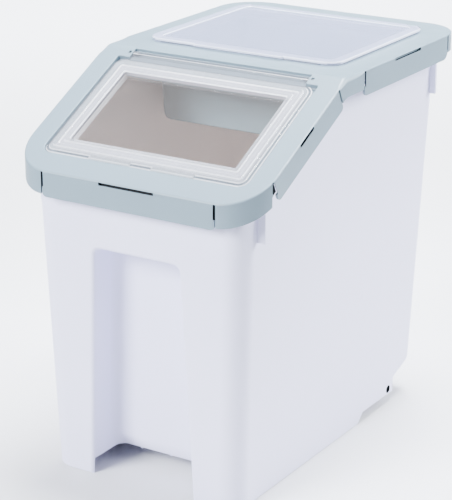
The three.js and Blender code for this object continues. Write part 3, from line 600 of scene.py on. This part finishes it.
def folded_plate():
    """The lid's folded plate with its skirt, before anything is cut into it."""
    turns = [math.pi / 2 * k / 6 for k in range(7)]
    outer = [lid_ring(0, FRONT_SKIRT)]
    outer += [lid_ring(LID_FILLET * (1 - math.cos(t)), LID_FILLET * (1 - math.sin(t)),
                       BEND_FILLET - LID_FILLET, t) for t in turns]
    body = loft(outer)
    inner = [lid_ring(LID_WALL, FAR), lid_ring(LID_WALL, LID_WALL + 2),
             lid_ring(LID_WALL + 0.6, LID_WALL + 0.6), lid_ring(LID_WALL + 2, LID_WALL)]
    cut(body, loft(inner))
    rear_trim = box(ACROSS, (64, LID_DEPTH + 1), (0, DECK + 2))
    cut(rear_trim, above_lid(REAR_SKIRT))
    return cut(body, rear_trim)


def latch_rooms():
    """Where the skirt is open for the six latches."""
    reach = LATCH_WALL + 0.6
    under = DECK - LID_WALL
    low, high = SLOPE_LATCH[0] - LATCH_SLIT, SLOPE_LATCH[1] + LATCH_SLIT
    deck_low, deck_high = DECK_LATCH[0] - LATCH_SLIT, DECK_LATCH[1] + LATCH_SLIT
    deck_room = [(deck_low, under), (deck_low, under - FAR), (deck_high, under - FAR), (deck_high, under)]
    slope_room = [(low, lid_z(low, LID_WALL)), (low, lid_z(low, LID_WALL) - FAR),
                  (high + FAR * SIN, lid_z(high, LID_WALL) - FAR * COS), (high, lid_z(high, LID_WALL))]
    front_half = FRONT_LATCH_LENGTH / 2 + LATCH_SLIT
    rear_half = REAR_LATCH_LENGTH / 2 + LATCH_SLIT
    rooms = [
        extrude([(-1, FOLD - LID_WALL), (-1, FOLD - FAR), (reach, FOLD - FAR),
                 (reach, lid_z(reach, LID_WALL)), (0, FOLD - LID_WALL)], -front_half, front_half, "x"),
        box((-rear_half, rear_half), (LID_DEPTH - reach, LID_DEPTH + 1), (under - FAR, under)),
    ]
    for outline in (deck_room, slope_room):
        for x in both_sides(HALF_WIDTH - reach, HALF_WIDTH + 1):
            rooms.append(extrude(outline, x[0], x[1], "x"))
    return rooms


def latch_stops():
    """Narrow ribs behind both ends and the hinge slot of every latch, which close the gaps there."""
    ribs = []
    for _, length, slot, height, _, matrix in latches():
        half = length / 2
        foot = 0.62 * height
        ribs.append(box((-slot / 2 - 2, slot / 2 + 2), STOP_DEPTHS, (-7, 0.5), move=matrix))
        for end in (-1, 1):
            for near, far, depth in ((half - 4, half + LATCH_SLIT + 2.4, STOP_DEPTHS[0]),
                                     (half + LATCH_SLIT + 0.6, half + LATCH_SLIT + 2.4, 2)):
                x = sorted((end * near, end * far))
                ribs.append(box(x, (depth, STOP_DEPTHS[1]), (-foot, 0.5), move=matrix))
    return ribs


def slit_relief(end, rear_end):
    """How far a latch's end steps back beside the upper part of its slit."""
    return 1.8 if rear_end == -end else 1.2


def edge_notches():
    """Where the hinge slots and the slits run up into the edge of the lid's plate."""
    notches = []
    for _, length, slot, _, rear_end, matrix in latches():
        spans = [(-slot / 2, slot / 2)]
        for end in (-1, 1):
            near = length / 2 - slit_relief(end, rear_end)
            spans.append(sorted((end * near, end * (length / 2 + LATCH_SLIT))))
        notches += [box(x, (-1, NOTCH_DEPTH), (-1, NOTCH_TOP), move=matrix) for x in spans]
    return notches


def in_latch_gap(spot, normal, area):
    """True for the lid's faces that are seen through the slots and slits of the latches, which take the
    painted near-black gap shade.
    """
    for name, length, _, height, _, matrix in latches():
        x, y, z = matrix.inverted() @ spot
        facing = matrix.to_3x3().inverted() @ normal
        if abs(x) > length / 2 + 4:
            continue
        outward = facing.y < -0.9
        if outward and abs(y - STOP_DEPTHS[0]) < 0.05 and -height < z < 1:
            return True
        in_notch = -0.1 < y < NOTCH_DEPTH + 0.1 and -1.1 < z < NOTCH_TOP + 0.1
        at_end = abs(facing.x) > 0.9 and (area < 15 or name in ("front_latch", "rear_latch"))
        if in_notch and (outward and y > NOTCH_DEPTH - 0.1 or at_end):
            return True
    return False


def slope_ring(half, low, high, low_radius, high_radius, n):
    return flat_ring(half_rectangle(half, low, high, low_radius, high_radius), n)


def door_ring(inset, n):
    """The door's outline on the slope, set in by inset."""
    return slope_ring(DOOR_HALF - inset, DOOR_START + inset, DOOR_END - inset,
                      max(DOOR_LOW_CORNER - inset, 2), max(DOOR_HIGH_CORNER - inset, 2), n)


def pocket_ring(grow, n):
    """The outline of the pocket that the door lies in."""
    wide = DOOR_CLEARANCE + grow
    return slope_ring(DOOR_HALF + wide, DOOR_START - wide, DOOR_END + 1.6 + grow, DOOR_LOW_CORNER + wide,
                      2 + grow, n)


# A soft upper edge for a hollow in the lid: how far it flares, and the height off the surface
EDGE_FLARE = [(0.8, 4), (0.8, 0.02), (0.5, -0.1), (0.2, -0.35), (0, -0.8)]


def door_hollows():
    """The door's pocket, its opening, the trough for its barrel, and the pins' holes."""
    pocket = [pocket_ring(g, n) for g, n in EDGE_FLARE] + [pocket_ring(0, -4.2), pocket_ring(-0.8, -5)]
    opening = [door_ring(16.3, 4), door_ring(16.3, -20)]
    start, end = math.pi + math.asin(1.4 / TROUGH_RADIUS), 2 * math.pi
    arc = [(AXIS_S + TROUGH_RADIUS * math.cos(t), AXIS_N + TROUGH_RADIUS * math.sin(t))
           for t in (start + (end - start) * k / 12 for k in range(13))]
    trough = [(DOOR_END - 1, 3), (DOOR_END - 1, AXIS_N - 1.4)] + arc
    trough += [(TROUGH_BACK, AXIS_N), (TROUGH_BACK, -0.5), (TROUGH_BACK + 0.4, 0.05), (TROUGH_BACK + 0.4, 3)]
    half = BARREL_HALF + DOOR_CLEARANCE
    hollows = [loft(pocket, move=SLOPE_FRAME), loft(opening, move=SLOPE_FRAME),
               extrude(trough, -half, half, "x", move=SLOPE_FRAME)]
    for x in both_sides(BARREL_HALF, PIN_END + CLEARANCE):
        hollows.append(rod(PIN_RADIUS + CLEARANCE, x, AXIS_S, AXIS_N, SLOPE_FRAME, 20))
    for x in both_sides(93.4, 96.4):
        hollows.append(box(x, (AXIS_S - 1.6, AXIS_S + 1.6), (AXIS_N - 1.2, 3), SLOPE_FRAME))
    return hollows


def tray_ring(grow, z):
    """The outline of the tray's mouth, grown by grow."""
    return flat_ring(half_rectangle(TRAY_HALF + grow, TRAY_FRONT - grow, TRAY_BACK + grow,
                                    TRAY_CORNER + grow), z)


def cover_post(x):
    """A post on the deck that holds one of the cover's pins."""
    post = box(x, (COVER_AXIS_Y - COVER_BARREL, COVER_AXIS_Y + COVER_BARREL), (DECK - 1, COVER_AXIS_Z))
    unite(post, rod(COVER_BARREL, x, COVER_AXIS_Y, COVER_AXIS_Z))
    return cut(post, rod(COVER_PIN_BORE, (x[0] - 1, x[1] + 1), COVER_AXIS_Y, COVER_AXIS_Z, count=16))


def build_lid_frame():
    """The folded lid with the door's surround, the tray's ledge, the cover's posts and the latches' rooms."""
    body = folded_plate()
    surround = [slope_ring(DOOR_HALF + 2.4, DOOR_START - 2.4, TROUGH_BACK + 1.6, DOOR_LOW_CORNER + 2.4, 2, n)
                for n in (-7.2, -1.2)]
    flange_floor = DECK - FLANGE_THICKNESS - GAP
    ledge = [tray_ring(TRAY_FLANGE + 2.6, z) for z in (flange_floor - 2.2, flange_floor + 1)]
    unite(body, loft(surround, move=SLOPE_FRAME), loft(ledge), *latch_stops())
    for x in both_sides(*COVER_POST):
        unite(body, cover_post(x))
    tray_hole = loft([tray_ring(GAP, 0), tray_ring(GAP, DECK + 5)])
    grow = TRAY_FLANGE + GAP
    rebate = loft([tray_ring(grow, flange_floor), tray_ring(grow, DECK - 0.4),
                   tray_ring(grow + 0.4, DECK + 0.02), tray_ring(grow + 0.4, DECK + 5)])
    cut(body, tray_hole, rebate, *door_hollows(), *latch_rooms(), *edge_notches())
    shell = finish(body, "lid_shell", "lid", LID_PLASTIC, ["lid_frame"], edge=0.3)
    # The faces seen through the latches' slots and slits take the painted gap shade.
    inlay(shell, GAP_SHADE_PLASTIC, in_latch_gap)


# ---------------------------------------------------------------- latches
def latch_frame(right, inward, up, origin):
    """The matrix from a latch's own axes, along it, inward and up, to the bin's."""
    matrix = Matrix.Identity(4)
    for i, axis in enumerate((right, inward, up, origin)):
        for j in range(3):
            matrix[j][i] = axis[j]
    return matrix


def latches():
    """Name, length, hinge slot's length, height, rear end and frame of each latch.

    The rear end is 1 or -1 along a deck latch's own x, and 0 on the latches whose two ends are alike."""
    x, y, z = Vector((1, 0, 0)), Vector((0, 1, 0)), Vector((0, 0, 1))
    up_slope, off_slope = Vector((0, COS, SIN)), Vector((0, -SIN, COS))
    height = LATCH_DEPTH - LID_WALL
    found = [
        ("front_latch", FRONT_LATCH_LENGTH, HINGE_SLOTS["front"], height, 0,
         latch_frame(x, y, z, Vector((0, 0, FOLD - LID_WALL)))),
        ("rear_latch", REAR_LATCH_LENGTH, HINGE_SLOTS["rear"], height, 0,
         latch_frame(-x, -y, z, Vector((0, LID_DEPTH, DECK - LID_WALL)))),
    ]
    for side, sign in (("left", -1), ("right", 1)):
        middle = sum(SLOPE_LATCH) / 2
        found.append((f"{side}_slope_latch", (SLOPE_LATCH[1] - SLOPE_LATCH[0]) / COS, HINGE_SLOTS["slope"],
                      height * COS, 0,
                      latch_frame(up_slope * sign, -sign * x, off_slope,
                                  Vector((sign * HALF_WIDTH, middle, lid_z(middle, LID_WALL))))))
        middle = sum(DECK_LATCH) / 2
        found.append((f"{side}_deck_latch", DECK_LATCH[1] - DECK_LATCH[0], HINGE_SLOTS["deck"], height, sign,
                      latch_frame(y * sign, -sign * x, z,
                                  Vector((sign * HALF_WIDTH, middle, DECK - LID_WALL)))))
    return found


def build_latch(name, length, slot, height, rear_end, matrix):
    """A flap with rounded lower corners, a hinge slot, a slit at each end and a hook along its inside."""
    half = length / 2
    outline = [(half, 0), (-half, 0)]
    for end in (-1, 1):
        radius = DECK_LATCH_CORNER if end == rear_end else LATCH_CORNER
        for k in range(7):
            angle = math.pi / 2 * k / 6
            across = math.cos(angle) if end < 0 else math.sin(angle)
            down = math.sin(angle) if end < 0 else math.cos(angle)
            outline.append((end * (half - radius + radius * across), -height + radius - radius * down))
    body = extrude(outline, 0, LATCH_WALL, "y", move=matrix)
    sill = -HINGE_SLOT_SILL
    slot_room = [(-1, sill), (0, sill), (UNDERCUT, sill - UNDERCUT), (UNDERCUT, 1), (-1, 1)]
    cut(body, extrude(slot_room, -slot / 2, slot / 2, "x", move=matrix))
    for end in (-1, 1):
        near = half - slit_relief(end, rear_end)
        slit = [(near, -1), (near, 0), (near - UNDERCUT, UNDERCUT), (half + 1, UNDERCUT), (half + 1, -1)]
        cut(body, extrude([(end * a, b) for a, b in slit], -0.6 * height, 1, "z", move=matrix))
    hook = [(LATCH_WALL - 0.5, -10), (LATCH_WALL - 0.5, -13), (LATCH_WALL, -13), (LATCH_WALL + 2, -12.2),
            (LATCH_WALL + 4.1, -11.2), (LATCH_WALL + 4.4, -10.8), (LATCH_WALL + 4.4, -10.3),
            (LATCH_WALL + 4.1, -10)]
    unite(body, extrude(hook, -half + 8, half - 8, "x", move=matrix))
    flap = finish(body, f"{name}_flap", name, LID_PLASTIC, [name], edge=0.3)
    to_flap = matrix.inverted()

    # The slot's inner faces take the painted gap shade, so the opening reads as shadow.
    def in_slot_shade(spot, normal, area):
        facing = to_flap.to_3x3() @ normal
        return 0.5 < facing.y < 0.9 and facing.z > -0.1 and (to_flap @ spot).z > -0.7 * height

    inlay(flap, GAP_SHADE_PLASTIC, in_slot_shade)


# ---------------------------------------------------------------- front door
def build_front_door():
    """A stepped frame round a clear pane, with a pull tab on each half of its lower edge and a barrel."""
    levels = [(20.2, -0.9), (20.2, -6.2), (19.9, -6.5), (18.7, -6.5), (18.4, -6.2), (18.4, -0.9), (8, -0.9),
              (8, -2.6), (0.4, -2.6), (0, -2.2), (0, -1.2), (0.8, -0.4), (3.1, -0.4), (3.9, 0.4), (7.1, 0.4),
              (7.9, 1.2), (10.8, 1.2), (11.6, 0.4), (14.4, 0.4), (15.2, 1.2), (18.2, 1.2), (19, 0.4)]
    body = loft([door_ring(inset, n) for inset, n in levels], move=SLOPE_FRAME)
    for x in both_sides(11, 53):
        tab = [(24, -2.6), (28, -2.6), (28, 0.6), (27.6, 1), (24.6, 1), (24, 0.4)]
        unite(body, extrude(tab, x[0], x[1], "x", move=SLOPE_FRAME))
    neck = box((-BARREL_HALF, BARREL_HALF), (DOOR_END - 2, AXIS_S), (AXIS_N - 0.2, -0.4), SLOPE_FRAME)
    unite(body, neck, rod(BARREL_RADIUS, (-BARREL_HALF, BARREL_HALF), AXIS_S, AXIS_N, SLOPE_FRAME, 24))
    cut(body, *[rod(PIN_RADIUS + CLEARANCE, x, AXIS_S, AXIS_N, SLOPE_FRAME, 16)
                for x in both_sides(PIN_START - CLEARANCE, 120)])
    panel = finish(body, "front_door_panel", "front_door", DOOR_PLASTIC, ["front_door"], edge=0.15)

    def on_slope(spot):
        return SLOPE_FRAME.inverted() @ spot

    def facing_out(normal):
        return normal.dot(SLOPE_FRAME.to_3x3() @ Vector((0, 0, 1)))

    # The step edges take the painted highlight.
    def on_highlight_edge(spot, normal, area):
        return abs(facing_out(normal)) < 0.9 and on_slope(spot).z > -1.25

    def on_band(spot, normal, area):
        place = on_slope(spot)
        outermost = -0.5 < place.z < 0.2 and DOOR_START + 9 < place.y < DOOR_END - 3.5
        return facing_out(normal) > 0.95 and (outermost or 0.2 < place.z < 1.3)

    def on_pane(spot, normal, area):
        """The pane, and the side of the frame's upper rib that is seen through it."""
        place = on_slope(spot)
        behind_top_rib = (abs(facing_out(normal)) < 0.7 and abs(normal.x) < 0.3 and place.y > 90
                          and -8 < place.z < -0.85 and abs(spot.x) < DOOR_HALF - 17)
        return area > WIDE_FACE or behind_top_rib

    inlay(panel, DOOR_HIGHLIGHT_PLASTIC, on_highlight_edge)
    # The up-facing flats take the lighter haze of the painted highlight.
    inlay(panel, DOOR_BAND_HIGHLIGHT_PLASTIC, on_band)
    # The pane takes the haze whose warm tone is painted interior light.
    inlay(panel, PANE_HAZE_AND_GLOW_PLASTIC, on_pane)


# ---------------------------------------------------------------- treat tray and its cover
def drafted_ring(inset, z, side_inset=None):
    """One level of the tray's tapering outline. Its sides may be set in further than its front and back."""
    if side_inset is None:
        side_inset = inset
    middle = (TRAY_FRONT + TRAY_BACK) / 2
    shrink = TRAY_DRAFT * (DECK - z) / (DECK - TRAY_BOTTOM)
    half = (TRAY_HALF - side_inset) * (1 - shrink / TRAY_HALF)
    reach = (middle - TRAY_FRONT - inset) * (1 - shrink / (middle - TRAY_FRONT))
    return flat_ring(half_rectangle(half, middle - reach, middle + reach, max(TRAY_CORNER - inset, 1.5)), z)


def build_treat_tray():
    """A box with a flange round its mouth, whose sides curve into its floor."""
    under = DECK - FLANGE_THICKNESS
    side_curve = []
    for k in range(1, 9):
        angle = math.pi / 2 * k / 8
        rise = TRAY_FOOT * (1 - math.cos(angle))
        edge = max(1.6 - rise, 0)
        side_curve.append(drafted_ring(edge, TRAY_BOTTOM + rise, TRAY_FOOT * (1 - math.sin(angle))))
    outside = [drafted_ring(2.2, TRAY_BOTTOM, TRAY_FOOT)] + side_curve
    outside += [drafted_ring(0, under), tray_ring(TRAY_FLANGE - 0.2, under),
                tray_ring(TRAY_FLANGE, under + 0.2), tray_ring(TRAY_FLANGE, DECK - 0.4),
                tray_ring(TRAY_FLANGE - 0.4, DECK)]
    floor = TRAY_BOTTOM + TRAY_WALL
    inside = [drafted_ring(TRAY_WALL - 0.8, DECK), drafted_ring(TRAY_WALL, DECK - 1),
              drafted_ring(TRAY_WALL, floor + 7), drafted_ring(TRAY_WALL + 0.4, floor + 3.4, TRAY_WALL + 1),
              drafted_ring(TRAY_WALL + 1.2, floor + 1.2, TRAY_WALL + 3),
              drafted_ring(TRAY_WALL + 3.4, floor, TRAY_WALL + 6.5)]
    finish(loft(outside + inside), "treat_tray_box", "lid", TRAY_PLASTIC, ["treat_tray"], edge=0)


def cover_ring(inset, rise):
    """The cover's outline, set in by inset, at a height above the deck."""
    return flat_ring(half_rectangle(COVER_HALF - inset, COVER_FRONT + inset, COVER_BACK - inset,
                                    max(COVER_CORNER - inset, 3)), DECK + rise)


def build_rear_cover():
    """A clear plate with a broad raised band, a finger tab, a rib that plugs the tray, and a barrel."""
    under = COVER_RISE - 2.2
    body = loft([cover_ring(2, under), cover_ring(2, GAP), cover_ring(0.9, GAP), cover_ring(0.9, 1.6),
                 cover_ring(0, 1.9), cover_ring(0, 2.9), cover_ring(0.3, 3.5), cover_ring(0.9, 4),
                 cover_ring(9.5, 4), cover_ring(10.2, 3.5)])
    plug = -TRAY_WALL - 0.9
    top, bottom = DECK + under + 0.5, DECK - 5
    unite(body, loft([tray_ring(plug, top), tray_ring(plug, bottom + 0.4), tray_ring(plug - 0.4, bottom),
                      tray_ring(plug - 1.4, bottom), tray_ring(plug - 1.8, bottom + 0.4),
                      tray_ring(plug - 1.8, top)], closed=True))
    tab = [(COVER_FRONT - 2.6, 2.2), (COVER_FRONT - 2.6, 3.4), (COVER_FRONT - 2, 4), (COVER_FRONT + 1, 4),
           (COVER_FRONT + 1, 1.6), (COVER_FRONT - 2, 1.6)]
    unite(body, extrude([(y, DECK + z) for y, z in tab], -46, 46, "x"))
    cut(body, box((-COVER_HALF - 1, COVER_HALF + 1), (COVER_AXIS_Y, PAST_REAR), (DECK - 1, DECK + 5)))
    straight = COVER_HALF - COVER_CORNER / 2
    unite(body, rod(COVER_BARREL, (-straight, straight), COVER_AXIS_Y, COVER_AXIS_Z))
    for x in both_sides(COVER_POST[0] - GAP, COVER_POST[1] + GAP):
        cut(body, box(x, (COVER_AXIS_Y - COVER_BARREL - 1.2, PAST_REAR), (DECK - 1, DECK + 5)))
    for x in both_sides(*COVER_PIN):
        cut(body, rod(COVER_PIN_BORE, x, COVER_AXIS_Y, COVER_AXIS_Z, count=16))
    panel = finish(body, "rear_cover_panel", "rear_cover", COVER_PLASTIC, ["rear_cover"], edge=0.15)
    foot = DECK + 1.7

    def on_outer_wall(spot, normal):
        return abs(normal.z) < 0.05 and max(abs(spot.x) - COVER_HALF, COVER_FRONT - spot.y) > -1

    # The rim's sloping and outer faces take the painted highlight.
    def on_highlight_edge(spot, normal, area):
        sloping = 0.05 < abs(normal.z) < 0.95
        return spot.z > foot and (sloping or area > 2 and on_outer_wall(spot, normal))

    def on_band(spot, normal, area):
        return spot.z > foot and normal.z > 0.95 and area < WIDE_FACE

    # The lower outer wall takes the painted shadow line.
    def on_shadow_line(spot, normal, area):
        return DECK < spot.z < foot and on_outer_wall(spot, normal)

    inlay(panel, COVER_HIGHLIGHT_PLASTIC, on_highlight_edge)
    inlay(panel, COVER_BAND_PLASTIC, on_band)
    inlay(panel, COVER_SHADOW_LINE_PLASTIC, on_shadow_line)


# ---------------------------------------------------------------- wheels and axle
def spin(profile, x, count=64):
    """A solid of revolution about the axle's line. The profile holds (radius, distance along the axle)."""
    bm = bmesh.new()
    rows = []
    for k in range(count):
        angle = 2 * math.pi * k / count
        rows.append([bm.verts.new((x + along, WHEEL_Y + radius * math.cos(angle),
                                   WHEEL_RADIUS + radius * math.sin(angle))) for radius, along in profile])
    for k in range(count):
        a, b = rows[k], rows[(k + 1) % count]
        for i in range(len(profile)):
            j = (i + 1) % len(profile)
            bm.faces.new((a[i], a[j], b[j], b[i]))
    return add_object("solid", bm)


def build_wheel(side, sign):
    """A wheel with a hub, a web with five holes, and a grooved tyre."""
    half_profile = [(AXLE_RADIUS + CLEARANCE, 9.5), (6.1, 9.5), (6.5, 9.1), (6.5, 2.4), (7.3, 1.6),
                    (11.2, 1.6), (12, 2.4), (12, 7.7), (12.3, 8), (13.7, 8), (14.5, 7.6), (15, 6.6),
                    (15, 3.4), (14.6, 3), (14.6, 2), (15, 1.6)]
    profile = half_profile + [(radius, -along) for radius, along in reversed(half_profile)]
    body = spin(profile, sign * WHEEL_X)
    for k in range(WHEEL_HOLES):
        angle = 2 * math.pi * k / WHEEL_HOLES
        y = WHEEL_Y + WHEEL_HOLE_RING * math.cos(angle)
        z = WHEEL_RADIUS + WHEEL_HOLE_RING * math.sin(angle)
        cut(body, rod(WHEEL_HOLE_RADIUS, (sign * WHEEL_X - 3, sign * WHEEL_X + 3), y, z, count=16))
    name = f"wheel_{side}"
    finish(body, f"{name}_roller", name, WHEEL_PLASTIC, [name], edge=0, sharp=28)


def build_axle():
    """A steel rod with chamfered ends."""
    end = AXLE_HALF
    profile = [(0.02, -end), (2.2, -end), (AXLE_RADIUS, -end + 0.6), (AXLE_RADIUS, end - 0.6), (2.2, end),
               (0.02, end)]
    finish(spin(profile, 0, 32), "axle_rod", "tub", STEEL, ["axle"], edge=0)


# ---------------------------------------------------------------- CAD pieces that stay
def dress_cad():
    for name, material in (
        # The lid seal's near-black is partly painted shade behind the slots.
        ("lid_seal", DARK_SEAL_AND_SHADE_SILICONE),
        ("front_door_seal", CLEAR_SILICONE),
        ("rear_cover_seal", CLEAR_SILICONE),
        ("door_hinge_pin_left", STEEL),
        ("door_hinge_pin_right", STEEL),
        ("cover_hinge_pin_left", STEEL),
        ("cover_hinge_pin_right", STEEL),
    ):
        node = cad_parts[name]
        node.data.materials.clear()
        node.data.materials.append(material)


build_tub()
build_axle()
for wheel_side, wheel_sign in (("left", -1), ("right", 1)):
    build_wheel(wheel_side, wheel_sign)
build_lid_frame()
for latch in latches():
    build_latch(*latch)
build_treat_tray()
build_front_door()
build_rear_cover()
dress_cad()


# ---------------------------------------------------------------- stage, light and camera
def build_floor():
    bm = bmesh.new()
    bmesh.ops.create_grid(bm, x_segments=1, y_segments=1, size=12)
    floor = add_object("floor", bm)
    material, nodes, links, shader = new_material("studio_floor")
    cloud = add_noise(nodes, links, 0.7, 2)
    tone = add_ramp(nodes, links, cloud, (0.74, 0.74, 0.745, 1), (0.76, 0.76, 0.765, 1))
    links.new(tone, shader.inputs["Base Color"])
    shader.inputs["Roughness"].default_value = 0.9
    shader.inputs["Specular IOR Level"].default_value = 0.1
    floor.data.materials.append(material)


BIN_AIM = Vector((0, 0, 0.2))
COVER_AIM = Vector((0, 0.08, 0.36))
BACKDROP_AIM = Vector((-1.03, 1.63, 0))


def add_softbox(name, direction, distance, size, power, aim, spread):
    """A square area light. Its direction is (azimuth, elevation). Azimuth 0 is in front of the bin."""
    light = bpy.data.lights.new(name, "AREA")
    light.shape = "SQUARE"
    light.size = size
    light.energy = power
    light.spread = math.radians(spread)
    light.color = (0.89, 0.93, 1.0)
    obj = bpy.data.objects.new(name, light)
    a, e = (math.radians(angle) for angle in direction)
    back = Vector((math.sin(a) * math.cos(e), -math.cos(a) * math.cos(e), math.sin(e)))
    obj.location = aim + back * distance
    obj.rotation_mode = "QUATERNION"
    obj.rotation_quaternion = (-back).to_track_quat("-Z", "Y")
    bpy.context.scene.collection.objects.link(obj)


def build_world(strength):
    world = bpy.data.worlds.new("studio")
    world.use_nodes = True
    background = world.node_tree.nodes["Background"]
    background.inputs["Color"].default_value = (0.98, 0.99, 1, 1)
    background.inputs["Strength"].default_value = strength
    bpy.context.scene.world = world


def build_camera(eye, aim, lens):
    camera = bpy.data.cameras.new("camera")
    camera.lens = lens
    camera.sensor_width = 36
    camera.sensor_fit = "AUTO"
    camera.clip_start, camera.clip_end = 0.05, 60
    obj = bpy.data.objects.new("camera", camera)
    obj.location = eye
    obj.rotation_mode = "QUATERNION"
    obj.rotation_quaternion = (aim - eye).to_track_quat("-Z", "Y")
    bpy.context.scene.collection.objects.link(obj)
    bpy.context.scene.camera = obj


build_floor()
build_world(0.08)
add_softbox("key", (-22, 29), 2.6, 1.1, 56, BIN_AIM, 90)
add_softbox("side", (128, 28), 1.8, 1.0, 27, BIN_AIM, 90)
add_softbox("overhead", (170, 80), 1.3, 0.8, 20.5, COVER_AIM, 60)
add_softbox("backdrop", (212, 90), 1.7, 2.2, 142, BACKDROP_AIM, 80)
build_camera(Vector((0.8749, -1.4279, 0.758)), Vector((0.006, -0.0445, 0.1861)), 137.07)
